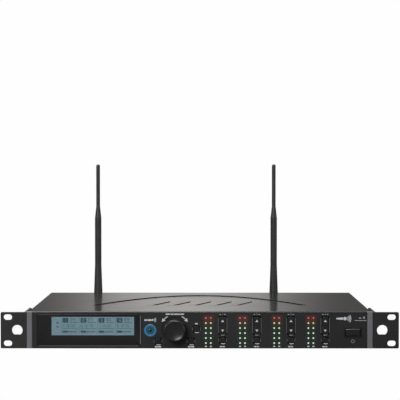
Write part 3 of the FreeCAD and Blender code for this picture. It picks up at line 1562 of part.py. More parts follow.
def receiver_module(label, number):
    """Folded tin box over one channel's receiver."""
    left, right = module_left(number), module_left(number) + s.module_wide
    front, back = s.module_front, s.module_front + s.module_long
    tin = s.tin_thick
    outer = block(f"{label}_lid", (left, right), (front, back),
                  (BOARD_TOP, BOARD_TOP + s.module_tall))
    inner = block(f"{label}_room", (left + tin, right - tin), (front + tin, back - tin),
                  (BOARD_TOP - tin, BOARD_TOP + s.module_tall - tin))
    return minus(label, outer, inner)


def board_standoffs():
    """Standoffs that carry the two boards."""
    inset = s.standoff_inset
    edge = WALL_IN - s.board_side_gap - inset
    main_middle = (s.main_right - WALL_IN + s.board_side_gap) / 2
    spots = [(x, y)
             for x in (-edge, main_middle, s.main_right - inset, s.supply_left + inset, edge)
             for y in (s.supply_front + inset, board_back() - inset)]
    return group("board_standoffs", [
        rod("standoff", "Z", (x, y, s.sheet_thick), s.standoff_radius, s.standoff_tall)
        for x, y in spots])


def ribbon_cable():
    """Flat cable from the control board, through the front wall, to the main board."""
    piece = body("ribbon_cable", s.ribbon_place)
    start = s.board_front + s.board_thick
    thick = s.ribbon_thick
    low = BOARD_TOP + s.header_tall - thick
    back = s.main_front + s.header_back
    path = sketch(piece, "YZ")
    outline(path, [
        (start, s.ribbon_height), (start + s.ribbon_out, s.ribbon_height),
        (s.main_front, low), (back - s.header_long, low), (back - s.header_long, BOARD_TOP),
        (back, BOARD_TOP), (back, low + thick), (s.main_front, low + thick),
        (start + s.ribbon_out + thick / 2, s.ribbon_height + thick),
        (start, s.ribbon_height + thick),
    ])
    pad_both(piece, path, s.ribbon_wide)
    return piece


def lead(label, points, radius, bend):
    """A round lead along straight runs joined by tangent arcs."""
    spots = [FreeCAD.Vector(*(dim(c).value for c in p)) for p in points]
    radius, bend = radius.value, bend.value
    made = []
    start = spots[0]
    for before, corner, after in zip(spots, spots[1:], spots[2:]):
        back = (before - corner).normalize()
        ahead = (after - corner).normalize()
        half = back.getAngle(ahead) / 2
        reach = bend / math.tan(half)
        first, last = corner + back * reach, corner + ahead * reach
        inward = (back + ahead).normalize()
        middle = corner + inward * (bend / math.sin(half) - bend)
        made += [Part.LineSegment(start, first).toShape(),
                 Part.Arc(first, middle, last).toShape()]
        start = last
    made.append(Part.LineSegment(start, spots[-1]).toShape())
    path = Part.Wire(made)
    heading = spots[1] - spots[0]
    ring = Part.Wire(Part.Circle(spots[0], heading, radius).toShape())
    tube = doc.addObject("Part::Feature", label)
    tube.Shape = path.makePipeShell([ring], True, False)
    tube.Placement = FreeCAD.Placement(FreeCAD.Vector(0, FRONT.value, 0), FreeCAD.Rotation())
    return tube


def internal_leads():
    """Two coaxial leads from the antenna sockets and one mains lead to the switch."""
    bend = s.lead_bend
    high = s.axis_height + s.lead_rise
    behind = REAR_IN - s.bnc_tail
    module_back = s.module_front + s.module_long
    made = []
    for x, module in ((s.antenna_left, 0), (s.antenna_right, CHANNELS - 1)):
        target = module_left(module) + s.module_wide / 2
        made.append(lead("coaxial", [
            (x, behind, s.axis_height), (x, behind - bend * 2, s.axis_height),
            (x, behind - bend * 4, high), (target, module_back + bend * 2, high),
            (target, module_back + s.lead_end_gap, BOARD_TOP + s.lead_end_height),
        ], s.lead_radius, bend))
    inlet_back = s.body_deep - s.inlet_body_deep
    edge = WALL_IN - s.mains_side_gap
    level = s.inlet_height + s.mains_side_gap
    switch_back = s.housing_deep
    made.append(lead("mains", [
        (s.inlet_place, inlet_back, s.inlet_height),
        (s.inlet_place, inlet_back - bend * 2, s.inlet_height),
        (edge, inlet_back - bend * 5, level), (edge, switch_back + bend * 3.5, level),
        (s.power_place, switch_back + bend * 1.5, s.power_height),
        (s.power_place, switch_back, s.power_height),
    ], s.mains_radius, bend))
    return group("internal_leads", made)


# ---------------------------------------------------------------- screws

def screw(start, axis, way):
    """A pan-head screw: its head stands on start and its shank goes the other way."""
    step = {"X": (1, 0, 0), "Y": (0, 1, 0)}[axis]
    tall, long = s.screw_head_tall, s.screw_long
    head_at = [dim(c) + (0 if way > 0 else -tall * k) for c, k in zip(start, step)]
    shank_at = [dim(c) - (long * k if way > 0 else 0) for c, k in zip(start, step)]
    head = rod("head", axis, head_at, s.screw_head, tall)
    shank = rod("shank", axis, shank_at, s.screw_radius, long)
    return fused("screw", [head, shank])


def case_screws():
    """Every screw on the outside: ears, cover, rear panel and balanced outputs."""
    made = []
    for side in SIDES:
        for y, z in ear_screw_places():
            made.append(screw((EAR_OUT * side, y, z), "X", side))
        for y, z in cover_screw_places():
            made.append(screw((CASE_HALF * side, y, z), "X", side))
    for x, z in rear_screw_places():
        made.append(screw((x, s.body_deep, z), "Y", 1))
    for number in range(CHANNELS):
        for across, up in plug_screw_offsets():
            made.append(screw((plug_x(number) + across, s.body_deep + s.plug_flange_thick,
                               s.plug_height + up), "Y", 1))
    return group("case_screws", made)


# ---------------------------------------------------------------- assembly

def build():
    """Makes every piece and returns them by the name of their node."""
    made = [base_chassis(), top_cover(), rear_panel(), front_panel(), display_window(),
            lcd_glass(), lcd_frame(), control_board(), sync_light_ring(), sync_button(),
            encoder_knob(), encoder_shaft(), encoder_body(), tact_switches(),
            power_switch_housing(), power_rocker(), xlr_pins(), jack_sockets(),
            power_inlet(), bnc_sockets(), bnc_collars(), transformer(), board_standoffs(),
            ribbon_cable(), internal_leads(), case_screws()]
    made += boards()
    for word, side in (("left", -1), ("right", 1)):
        made.append(rack_ear(f"rack_ear_{word}", side))
        made.append(trim_strip(f"trim_strip_{word}", side))
    for label, x, z in push_keys():
        made.append(push_key(label, x, z))
    for number in range(CHANNELS):
        made.append(volume_key(f"volume_key_{number + 1}", channel_x(number)))
        made.append(xlr_socket(f"xlr_socket_{number + 1}", plug_x(number)))
        made.append(receiver_module(f"receiver_module_{number + 1}", number))
    made.append(level_lights("green_lights", range(LIGHT_ROWS - 2)))
    made.append(level_lights("amber_lights", [LIGHT_ROWS - 2]))
    made.append(level_lights("red_lights", [LIGHT_ROWS - 1]))
    for letter, x in (("a", s.antenna_left), ("b", s.antenna_right)):
        made.append(antenna_elbow(f"antenna_elbow_{letter}", x))
        made.append(hinge_pin(f"hinge_pin_{letter}", x))
        made.append(antenna_whip(f"antenna_whip_{letter}", x))
    return {piece.Label: piece for piece in made}


def check(pieces):
    """Stops the build when an object has failed or a piece isn't sound."""
    for thing in doc.Objects:
        if "Invalid" in thing.State or "Error" in thing.State:
            raise RuntimeError(f"{thing.Name} has failed: {thing.State}")
    for name, piece in pieces.items():
        if piece.Shape.isNull() or not piece.Shape.isValid() or not piece.Shape.Solids:
            raise RuntimeError(f"{name} is not a sound solid")


def write(pieces):
    """Writes one STEP file for each piece."""
    os.makedirs("parts", exist_ok=True)
    for name, piece in pieces.items():
        piece.Shape.exportStep(os.path.join("parts", f"{name}.step"))


PIECES = build()
doc.recompute()
check(PIECES)
write(PIECES)
print(f"{len(PIECES)} pieces, {sum(len(p.Shape.Solids) for p in PIECES.values())} solids")
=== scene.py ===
"""Looks of the four-channel wireless receiver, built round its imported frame.

Lengths are in metres; MM turns millimetres into them. Places come from the frame's own
pieces, so a piece follows the frame when the frame changes.
"""

import json
import math

import bmesh
import bpy
from mathutils import Matrix, Vector


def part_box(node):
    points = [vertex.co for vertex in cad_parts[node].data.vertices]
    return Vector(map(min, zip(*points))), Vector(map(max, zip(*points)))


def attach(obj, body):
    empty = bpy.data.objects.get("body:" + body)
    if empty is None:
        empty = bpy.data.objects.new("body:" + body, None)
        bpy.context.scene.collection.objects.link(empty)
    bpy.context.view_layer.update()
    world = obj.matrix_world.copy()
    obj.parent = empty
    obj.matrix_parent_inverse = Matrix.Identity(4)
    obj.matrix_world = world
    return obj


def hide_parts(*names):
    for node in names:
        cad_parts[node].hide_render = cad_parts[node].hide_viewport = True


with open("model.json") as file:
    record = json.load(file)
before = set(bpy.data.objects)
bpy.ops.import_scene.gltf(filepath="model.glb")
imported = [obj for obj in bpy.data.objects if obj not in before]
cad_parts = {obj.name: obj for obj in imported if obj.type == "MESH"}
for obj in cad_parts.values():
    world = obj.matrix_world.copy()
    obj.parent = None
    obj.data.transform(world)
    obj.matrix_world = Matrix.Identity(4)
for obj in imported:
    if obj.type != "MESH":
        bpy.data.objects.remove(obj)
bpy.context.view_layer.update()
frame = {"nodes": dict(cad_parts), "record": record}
NODES = frame["nodes"]
BODY_OF = {node: body for body, nodes in frame["record"]["behaviour"]["bodies"].items()
           for node in nodes}
MM = 0.001
CHANNELS = 4
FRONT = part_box("front_panel")[0].y
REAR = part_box("rear_panel")[1].y
INK = 0.06 * MM          # thickness of a printed mark
SCREEN_INK = 0.02 * MM   # thickness of a mark on the screen
KNOB_DISH = 1.5 * MM     # depth of the knob's dished face
MERGE = 1e-6             # corners nearer than this are one
FACTOR, RESULT = 0, 2    # sockets of a colour mix


# ------------------------------------------------------------------ small helpers

def placed(name, data):
    """A new object in the scene."""
    thing = bpy.data.objects.new(name, data)
    bpy.context.scene.collection.objects.link(thing)
    return thing


def set_inputs(node, **values):
    """Sets inputs by name; an underscore stands for a space."""
    for label, value in values.items():
        node.inputs[label.replace("_", " ")].default_value = value
    return node


def added(tree, kind, **values):
    """A new node with some of its inputs set."""
    return set_inputs(tree.nodes.new(kind), **values)


def colour_mix(tree, first, second):
    """A node that mixes two colours."""
    node = tree.nodes.new("ShaderNodeMix")
    node.data_type = "RGBA"
    node.inputs[6].default_value = first
    node.inputs[7].default_value = second
    return node


def wire(tree, *links):
    """Links nodes, each link being (from, its output, to, its input)."""
    for source, output, target, entry in links:
        tree.links.new(source.outputs[output], target.inputs[entry])


def bounds_of(corners):
    """Lowest and highest corner round some points."""
    return (Vector([min(c[k] for c in corners) for k in range(3)]),
            Vector([max(c[k] for c in corners) for k in range(3)]))


def centre_of(node):
    """The middle of a CAD node's box."""
    return middle(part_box(node))


def middle(pair):
    """The middle of a box."""
    return (pair[0] + pair[1]) / 2


# ------------------------------------------------------------------ camera and light

def camera():
    """The camera: level with the antenna tips, looking a little down at the front."""
    aside, away, height = 4.9 * MM, 1733.2 * MM, 221.1 * MM
    tilt_down, turn_left = 1.36, 0.15
    data = bpy.data.cameras.new("camera")
    data.lens = 129.06
    data.sensor_width = 36
    data.clip_end = 50
    view = placed("camera", data)
    view.location = (aside, FRONT - away, height)
    view.rotation_euler = (math.radians(90 - tilt_down), 0, math.radians(turn_left))
    bpy.context.scene.camera = view


def area_light(name, place, target, size, power):
    """A soft rectangular light that the camera doesn't see."""
    data = bpy.data.lights.new(name, "AREA")
    data.shape = "RECTANGLE"
    data.size, data.size_y = size
    data.energy = power
    lamp = placed(name, data)
    lamp.location = place
    heading = Vector(target) - Vector(place)
    lamp.rotation_euler = heading.to_track_quat("-Z", "Y").to_euler()
    lamp.visible_camera = False


def white_to_the_eye(tree, others):
    """A shader that is white where the camera sees it and another one for all other rays."""
    path = tree.nodes.new("ShaderNodeLightPath")
    white = added(tree, "ShaderNodeEmission", Color=(0.99, 0.99, 0.99, 1))
    mixed = tree.nodes.new("ShaderNodeMixShader")
    wire(tree, (path, "Is Camera Ray", mixed, "Fac"))
    tree.links.new(others, mixed.inputs[1])
    wire(tree, (white, "Emission", mixed, 2))
    return mixed.outputs["Shader"]


def back_card():
    """A tall card behind the case, brightest in its middle, that the cover mirrors."""
    bpy.ops.mesh.primitive_plane_add(size=1)
    card = bpy.context.object
    card.name = "back_card"
    upright = Matrix.Rotation(math.pi / 2, 4, "X")
    card.data.transform(Matrix.Translation((-0.05, 2.6, 0.5)) @ upright
                        @ Matrix.Diagonal((3.2, 0.8, 1, 1)))
    paint = bpy.data.materials.new("card_glow")
    paint.use_nodes = True
    tree = paint.node_tree
    tree.nodes.remove(tree.nodes["Principled BSDF"])
    place = tree.nodes.new("ShaderNodeTexCoord")
    across = tree.nodes.new("ShaderNodeSeparateXYZ")
    share = added(tree, "ShaderNodeMapRange", From_Max=0.55, To_Min=0.7, To_Max=0.11)
    share.interpolation_type = "SMOOTHERSTEP"
    aside = tree.nodes.new("ShaderNodeMath")
    aside.inputs[1].default_value = 0.05
    far = tree.nodes.new("ShaderNodeMath")
    far.operation = "ABSOLUTE"
    glow = added(tree, "ShaderNodeEmission", Color=(1.0, 0.965, 0.935, 1))
    wire(tree, (place, "Object", across, "Vector"), (across, "X", aside, 0),
         (aside, "Value", far, 0), (far, "Value", share, "Value"),
         (share, "Result", glow, "Strength"))
    surface = tree.nodes["Material Output"].inputs["Surface"]
    tree.links.new(white_to_the_eye(tree, glow.outputs["Emission"]), surface)
    card.data.materials.append(paint)


def studio():
    """White surroundings, a pale floor, soft lights on all sides and a card behind."""
    scene = bpy.context.scene
    scene.view_settings.view_transform = "Standard"
    world = bpy.data.worlds.new("studio")
    scene.world = world
    world.use_nodes = True
    tree = world.node_tree
    tree.nodes.clear()
    felt = added(tree, "ShaderNodeBackground", Color=(0.9, 0.93, 1.0, 1), Strength=0.15)
    output = tree.nodes.new("ShaderNodeOutputWorld")
    tree.links.new(white_to_the_eye(tree, felt.outputs["Background"]), output.inputs["Surface"])
    area_light("overhead", (0.1, -0.25, 1.7), (0.05, -0.1, 0), (1.3, 0.5), 13)
    area_light("front_fill", (-0.9, -2.2, 1.1), (0, 0, 0.05), (1.2, 0.8), 27)
    area_light("right_strip", (1.7, -0.5, 0.4), (0, -0.1, 0.03), (0.3, 0.9), 3)
    area_light("rear_fill", (-0.6, 2.2, 1.9), (0, 0.1, 0.03), (1.4, 0.9), 24)
    area_light("left_fill", (-2.2, 0.5, 1.0), (0, 0, 0.03), (0.9, 0.9), 6)
    back_card()
    bpy.ops.mesh.primitive_plane_add(size=60, location=(0, 0, -0.02 * MM))
    floor = bpy.context.object
    floor.name = "floor"
    paint = bpy.data.materials.new("pale_floor")
    paint.use_nodes = True
    shader = paint.node_tree.nodes["Principled BSDF"]
    set_inputs(shader, Base_Color=(0.16, 0.16, 0.165, 1), Roughness=0.9)
    surface = paint.node_tree.nodes["Material Output"].inputs["Surface"]
    paint.node_tree.links.new(white_to_the_eye(paint.node_tree, shader.outputs["BSDF"]), surface)
    floor.data.materials.append(paint)


# ------------------------------------------------------------------ shader groups

def group_with(name, values, outputs):
    """A shader group with a Vector input and named float sockets, and its two end nodes."""
    tree = bpy.data.node_groups.new(name, "ShaderNodeTree")
    tree.interface.new_socket("Vector", in_out="INPUT", socket_type="NodeSocketVector")
    for label, value in values.items():
        made = tree.interface.new_socket(label, in_out="INPUT", socket_type="NodeSocketFloat")
        made.default_value = value
    for label in outputs:
        tree.interface.new_socket(label, in_out="OUTPUT", socket_type="NodeSocketFloat")
    return tree, tree.nodes.new("NodeGroupInput"), tree.nodes.new("NodeGroupOutput")


def grain_group():
    """Fine moulded or sprayed grain, with larger faint patches of wear."""
    tree, start, end = group_with(
        "surface_grain", {"Grain": 2000.0, "Patch": 18.0, "Rough Low": 0.35, "Rough High": 0.45},
        ("Height", "Mask", "Roughness"))
    fine = added(tree, "ShaderNodeTexNoise", Detail=2.0)
    broad = added(tree, "ShaderNodeTexNoise", Detail=4.0, Roughness=0.6)
    spread = added(tree, "ShaderNodeMapRange", From_Min=0.35, From_Max=0.65)
    both = tree.nodes.new("ShaderNodeMapRange")
    wire(tree, (start, "Vector", fine, "Vector"), (start, "Vector", broad, "Vector"),
         (start, "Grain", fine, "Scale"), (start, "Patch", broad, "Scale"),
         (broad, "Fac", spread, "Value"), (spread, "Result", both, "Value"),
         (start, "Rough Low", both, "To Min"), (start, "Rough High", both, "To Max"),
         (fine, "Fac", end, "Height"), (spread, "Result", end, "Mask"),
         (both, "Result", end, "Roughness"))
    return tree


def brushed_group():
    """Fine lines along X, as on brushed or rolled metal."""
    tree, start, end = group_with("brushed_lines", {"Lines": 3000.0}, ("Height",))
    stretch = added(tree, "ShaderNodeMapping", Scale=(0.02, 1.0, 1.0))
    lines = added(tree, "ShaderNodeTexNoise", Detail=1.0)
    wire(tree, (start, "Vector", stretch, "Vector"), (stretch, "Vector", lines, "Vector"),
         (start, "Lines", lines, "Scale"), (lines, "Fac", end, "Height"))
    return tree


GRAIN = grain_group()
BRUSHED = brushed_group()


# ------------------------------------------------------------------ materials

def finish(name, colour, worn, rough, grain=0.4, depth=0.01, metallic=0.0,
           coat=0.0, glow=None, glow_strength=0.0, brushed=False):
    """A material: two close colours, patchy roughness and a grain of a size in mm."""
    made = bpy.data.materials.new(name)
    made.use_nodes = True
    tree = made.node_tree
    shader = tree.nodes["Principled BSDF"]
    place = tree.nodes.new("ShaderNodeTexCoord")
    texture = tree.nodes.new("ShaderNodeGroup")
    texture.node_tree = GRAIN
    set_inputs(texture, Grain=1 / (grain * MM), Rough_Low=rough[0], Rough_High=rough[1])
    mixed = colour_mix(tree, (*colour, 1), (*worn, 1))
    bump = added(tree, "ShaderNodeBump", Strength=0.6, Distance=depth * MM)
    wire(tree, (place, "Object", texture, "Vector"), (texture, "Mask", mixed, FACTOR),
         (mixed, RESULT, shader, "Base Color"), (texture, "Roughness", shader, "Roughness"))
    height = texture.outputs["Height"]
    if brushed:
        lines = tree.nodes.new("ShaderNodeGroup")
        lines.node_tree = BRUSHED
        wire(tree, (place, "Object", lines, "Vector"))
        height = lines.outputs["Height"]
    tree.links.new(height, bump.inputs["Height"])
    wire(tree, (bump, "Normal", shader, "Normal"))
    set_inputs(shader, Metallic=metallic, Coat_Weight=coat)
    if glow:
        set_inputs(shader, Emission_Color=(*glow, 1), Emission_Strength=glow_strength)
    return made


def lamp_finish(name, core, rim, strength, core_share=1.0):
    """A lit lamp: pale where it faces the eye, and its own colour towards the rim."""
    made = finish(name, rim, rim, (0.25, 0.3), depth=0.002)
    tree = made.node_tree
    shader = tree.nodes["Principled BSDF"]
    facing = added(tree, "ShaderNodeLayerWeight", Blend=0.5)
    edge = added(tree, "ShaderNodeMapRange", From_Min=core_share * 0.3, From_Max=core_share)
    mixed = colour_mix(tree, (*core, 1), (*rim, 1))
    wire(tree, (facing, "Facing", edge, "Value"), (edge, "Result", mixed, FACTOR),
         (mixed, RESULT, shader, "Emission Color"))
    set_inputs(shader, Emission_Strength=strength)
    return made


def glow_finish():
    """Panel plastic that the lamps light up, by the tint kept in its mesh."""
    made = finish("panel_glow", *PANEL_PLASTIC)
    tree = made.node_tree
    shader = tree.nodes["Principled BSDF"]
    tint = tree.nodes.new("ShaderNodeAttribute")
    tint.attribute_name = "tint"
    wire(tree, (tint, "Color", shader, "Emission Color"))
    set_inputs(shader, Emission_Strength=1.0)
    return made


def clear_finish():
    """Clear acrylic in front of the screen."""
    made = finish("clear_acrylic", (0.86, 0.9, 0.92), (0.84, 0.88, 0.9), (0.02, 0.04),
                  depth=0.001)
    set_inputs(made.node_tree.nodes["Principled BSDF"], Transmission_Weight=1.0, IOR=1.25)
    return made


def screen_finish():
    """Backlit screen, a little uneven."""
    made = finish("lit_screen", (0.02, 0.03, 0.034), (0.022, 0.034, 0.038), (0.3, 0.35),
                  depth=0.002)
    tree = made.node_tree
    shader = tree.nodes["Principled BSDF"]
    place = tree.nodes["Texture Coordinate"]
    wave = added(tree, "ShaderNodeTexNoise", Scale=28)
    shade = colour_mix(tree, (0.135, 0.205, 0.235, 1), (0.185, 0.28, 0.315, 1))
    wire(tree, (place, "Object", wave, "Vector"), (wave, "Fac", shade, FACTOR),
         (shade, RESULT, shader, "Emission Color"))
    set_inputs(shader, Emission_Strength=1.0)
    return made


PANEL_PLASTIC = ((0.017, 0.017, 0.0185), (0.021, 0.021, 0.022), (0.42, 0.5), 0.35, 0.02)

PAINTS = {
    "cover_paint": ((0.02, 0.02, 0.021), (0.026, 0.026, 0.027), (0.15, 0.19),
                    dict(grain=0.5, depth=0.004)),
    "rear_paint": ((0.02, 0.02, 0.021), (0.025, 0.025, 0.026), (0.45, 0.55), dict(grain=0.5, depth=0.02)),
    "ear_paint": ((0.024, 0.024, 0.025), (0.03, 0.03, 0.031), (0.38, 0.46), dict(grain=0.4, depth=0.015)),
    "strip_silver": ((0.225, 0.22, 0.235), (0.25, 0.245, 0.26), (0.34, 0.4),
                     dict(grain=0.3, depth=0.006, metallic=0.1)),
    "window_black": ((0.014, 0.014, 0.0145), (0.016, 0.016, 0.017), (0.08, 0.12),
                     dict(grain=4.0, depth=0.002, coat=0.3)),
    "screen_ink": ((0.02, 0.04, 0.05), (0.024, 0.046, 0.058), (0.4, 0.5),
                   dict(depth=0.001, glow=(0.03, 0.055, 0.07), glow_strength=1.0)),
    "screen_faint": ((0.02, 0.04, 0.05), (0.024, 0.046, 0.058), (0.4, 0.5),
                     dict(depth=0.001, glow=(0.045, 0.082, 0.1), glow_strength=1.0)),
    "frame_metal": ((0.5, 0.5, 0.5), (0.45, 0.45, 0.46), (0.25, 0.35),
                    dict(metallic=1.0, brushed=True, depth=0.004)),
    "board_green": ((0.01, 0.09, 0.04), (0.012, 0.1, 0.045), (0.3, 0.4), dict(depth=0.01)),
    "tin_plate": ((0.62, 0.62, 0.61), (0.55, 0.55, 0.55), (0.25, 0.35),
                  dict(metallic=1.0, brushed=True, depth=0.004)),
    "button_teal": ((0.004, 0.03, 0.045), (0.006, 0.04, 0.055), (0.12, 0.18),
                    dict(depth=0.003, glow=(0.01, 0.07, 0.1), glow_strength=0.8)),
    "port_dark": ((0.03, 0.006, 0.008), (0.04, 0.008, 0.01), (0.06, 0.1), dict(depth=0.002, coat=0.5)),
    "key_plastic": ((0.014, 0.014, 0.015), (0.018, 0.018, 0.019), (0.3, 0.4),
                    dict(grain=0.3, depth=0.008)),
    "knob_plastic": ((0.02, 0.02, 0.0205), (0.024, 0.024, 0.025), (0.22, 0.28),
                     dict(grain=0.3, depth=0.004)),
    "shaft_steel": ((0.55, 0.55, 0.55), (0.5, 0.5, 0.5), (0.2, 0.3), dict(metallic=1.0, depth=0.003)),
    # Painted highlight: a faint grey glow for edges that stand in for catching the light.
    "painted_edge_highlight": ((0.12, 0.12, 0.123), (0.15, 0.15, 0.154), (0.2, 0.3),
                  dict(depth=0.002, glow=(0.1, 0.1, 0.102), glow_strength=1.0)),
    # Painted shade: a near-black matte that darkens upward faces.
    "painted_top_shade": ((0.004, 0.004, 0.004), (0.006, 0.006, 0.006), (0.8, 0.9), {}),
    "key_rim": ((0.012, 0.012, 0.013), (0.014, 0.014, 0.015), (0.12, 0.18), dict(depth=0.002, coat=0.6)),
    # Painted highlight: a glowing pale crescent at the foot of each key's opening.
    "key_foot_painted_highlight": ((0.5, 0.5, 0.49), (0.56, 0.56, 0.55), (0.15, 0.2),
                  dict(depth=0.002, glow=(0.5, 0.5, 0.49), glow_strength=0.55)),
    # Painted highlight: a faint glow on the bars beside each key's opening and under the volume keys.
    "key_edge": ((0.08, 0.08, 0.082), (0.1, 0.1, 0.102), (0.2, 0.25),
                 dict(depth=0.002, glow=(0.055, 0.055, 0.058), glow_strength=1.0)),
    "switch_plastic": ((0.008, 0.008, 0.009), (0.011, 0.011, 0.012), (0.3, 0.38), dict(depth=0.006)),
    "rocker_face": ((0.018, 0.018, 0.019), (0.024, 0.024, 0.025), (0.16, 0.2), dict(depth=0.003)),
    "socket_nickel": ((0.6, 0.58, 0.55), (0.52, 0.5, 0.47), (0.14, 0.24),
                      dict(metallic=1.0, depth=0.003)),
    "contact_gold": ((0.83, 0.62, 0.26), (0.76, 0.55, 0.22), (0.16, 0.24),
                     dict(metallic=1.0, depth=0.002)),
    "jack_plastic": ((0.03, 0.03, 0.031), (0.036, 0.036, 0.037), (0.35, 0.45), dict(depth=0.01)),
    "screw_black": ((0.05, 0.05, 0.05), (0.09, 0.09, 0.09), (0.28, 0.4), dict(metallic=0.8, depth=0.004)),
    "core_steel": ((0.12, 0.12, 0.13), (0.16, 0.15, 0.14), (0.5, 0.6),
                   dict(metallic=0.6, brushed=True, depth=0.02)),
    "cable_grey": ((0.3, 0.3, 0.31), (0.33, 0.33, 0.34), (0.4, 0.5), {}),
    "cable_black": ((0.012, 0.012, 0.013), (0.016, 0.016, 0.016), (0.45, 0.55), {}),
    "elbow_plastic": ((0.018, 0.018, 0.018), (0.023, 0.023, 0.023), (0.32, 0.42),
                      dict(grain=0.3, depth=0.01)),
    "whip_rubber": ((0.038, 0.038, 0.0385), (0.044, 0.044, 0.0445), (0.36, 0.46),
                    dict(grain=0.4, depth=0.012)),
    "legend_white": ((0.88, 0.89, 0.9), (0.82, 0.83, 0.84), (0.5, 0.6), dict(depth=0.002)),
    "legend_grey": ((0.42, 0.43, 0.44), (0.38, 0.39, 0.4), (0.5, 0.6), dict(depth=0.002)),
}

# Colour of the middle, colour of the rim, strength and how far the middle reaches.
LAMPS = {
    "ring_blue": ((0.07, 0.22, 0.39), (0.012, 0.06, 0.13), 0.48),
    "light_red": ((0.36, 0.17, 0.14), (0.055, 0.005, 0.004), 1.0, 0.2),
    "light_amber": ((0.74, 0.64, 0.47), (0.06, 0.04, 0.008), 1.0, 0.22),
    "light_green": ((0.76, 0.8, 0.71), (0.012, 0.045, 0.012), 1.0, 0.22),
}


def finishes():
    """Every material, by name."""
    made = {name: finish(name, colour, worn, rough, **rest)
            for name, (colour, worn, rough, rest) in PAINTS.items()}
    made.update({name: lamp_finish(name, *values) for name, values in LAMPS.items()})
    made["panel_plastic"] = finish("panel_plastic", *PANEL_PLASTIC)
    made["panel_glow"] = glow_finish()
    made["window_clear"] = clear_finish()
    made["screen_glass"] = screen_finish()
    return made


MATERIALS = finishes()


# ------------------------------------------------------------------ mesh helpers

def shade(mesh, angle=35):
    """Smooth shading, with edges sharper than angle kept sharp."""
    mesh.polygons.foreach_set("use_smooth", [True] * len(mesh.polygons))
    mesh.set_sharp_from_angle(angle=math.radians(angle))


def settle(piece, slot, body="case", replaces=(), paint=None):
    """Gives a finished piece the material of its slot, or paint if given, parents it to its body and
    hides the CAD nodes it stands for.
    """
    piece.data.materials.clear()
    piece.data.materials.append(MATERIALS[paint or slot])
    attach(piece, body)
    if replaces:
        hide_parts(*replaces)
    return piece


def from_bmesh(name, bm, angle=35, recalculate=True):
    """An object made from a bmesh, its faces turned outwards unless they already are."""
    if recalculate:
        bmesh.ops.recalc_face_normals(bm, faces=bm.faces)
    mesh = bpy.data.meshes.new(name)
    bm.to_mesh(mesh)
    bm.free()
    piece = placed(name, mesh)
    shade(mesh, angle)
    return piece


def baked(piece):
    """The piece with its modifiers turned into plain mesh."""
    graph = bpy.context.evaluated_depsgraph_get()
    mesh = bpy.data.meshes.new_from_object(piece.evaluated_get(graph))
    piece.modifiers.clear()
    piece.data = mesh
    return piece


def matte_above(piece):
    """Gives the piece's upward faces a near-black matte: painted shade along its top."""
    piece.data.materials.append(MATERIALS["painted_top_shade"])
    for face in piece.data.polygons:
        face.material_index = 1 if face.normal.z > 0.6 else 0


def eased(node, width, slot, segments=2):
    """A copy of a CAD node with its edges rounded by a bevel of a width in mm."""
    bm = bmesh.new()
    bm.from_mesh(NODES[node].data)
    bmesh.ops.remove_doubles(bm, verts=bm.verts, dist=MERGE)
    bmesh.ops.dissolve_limit(bm, angle_limit=math.radians(0.5), verts=bm.verts,
                             edges=bm.edges)
    piece = from_bmesh(f"{node}_eased", bm, 180, recalculate=False)
    bevel = piece.modifiers.new("bevel", "BEVEL")
    bevel.width = width * MM
    bevel.segments = segments
    bevel.limit_method = "ANGLE"
    bevel.angle_limit = math.radians(30)
    bevel.miter_outer = "MITER_ARC"
    weighted = piece.modifiers.new("weighted", "WEIGHTED_NORMAL")
    weighted.weight = 80
    baked(piece)
    return settle(piece, slot, BODY_OF[node], [node])


def join_rings(bm, rings):
    """Faces between each ring of corners and the next, where one corner alone is a pole."""
    for low, high in zip(rings, rings[1:]):
        steps = max(len(low), len(high))
        for step in range(steps):
            after = (step + 1) % steps
            corners = [low[step % len(low)], low[after % len(low)],
                       high[after % len(high)], high[step % len(high)]]
            bm.faces.new(list(dict.fromkeys(corners)))


def lathe(bm, profile, centre, axis, steps):
    """A turned form. The profile's points are (radius, distance along the axis)."""
    centre = Vector(centre)
    along = {"Y": Vector((0, 1, 0)), "Z": Vector((0, 0, 1))}[axis]
    across = Vector((1, 0, 0))
    other = along.cross(across)
    rings = []
    for radius, distance in profile:
        if not radius:
            rings.append([bm.verts.new(centre + along * distance)])
            continue
        ring = []
        for step in range(steps):
            turn = 2 * math.pi * step / steps
            outward = across * math.cos(turn) + other * math.sin(turn)
            ring.append(bm.verts.new(centre + along * distance + outward * radius))
        rings.append(ring)
    join_rings(bm, rings)


def slab(bm, points, y, thick):
    """A flat shape in the XZ plane at y, with a thickness towards the front."""
    front = [bm.verts.new((x, y - thick, z)) for x, z in points]
    back = [bm.verts.new((x, y, z)) for x, z in points]
    bm.faces.new(front)
    bm.faces.new(back[::-1])
    join_rings(bm, [back, front])


def bar(bm, left, right, low, high, y, thick=INK):
    """A flat bar between two sides and two heights."""
    slab(bm, [(left, low), (right, low), (right, high), (left, high)], y, thick)


# ------------------------------------------------------------------ repeats by nodes

def repeats(name, inputs, build):
    """A Geometry Nodes tree with named float inputs; build makes its geometry."""
    tree = bpy.data.node_groups.new(name, "GeometryNodeTree")
    tree.interface.new_socket("Geometry", in_out="INPUT", socket_type="NodeSocketGeometry")
    for label in inputs:
        tree.interface.new_socket(label, in_out="INPUT", socket_type="NodeSocketFloat")
    tree.interface.new_socket("Finish", in_out="INPUT", socket_type="NodeSocketMaterial")
    tree.interface.new_socket("Geometry", in_out="OUTPUT", socket_type="NodeSocketGeometry")
    start, end = tree.nodes.new("NodeGroupInput"), tree.nodes.new("NodeGroupOutput")
    made = build(tree, start)
    whole = tree.nodes.new("GeometryNodeRealizeInstances")
    painted = tree.nodes.new("GeometryNodeSetMaterial")
    tree.links.new(made, whole.inputs["Geometry"])
    wire(tree, (whole, "Geometry", painted, "Geometry"), (start, "Finish", painted, "Material"),
         (painted, "Geometry", end, "Geometry"))
    return tree


def socket_id(tree, label):
    """The identifier of a tree's named input."""
    return next(item.identifier for item in tree.interface.items_tree
                if item.name == label and item.in_out == "INPUT")


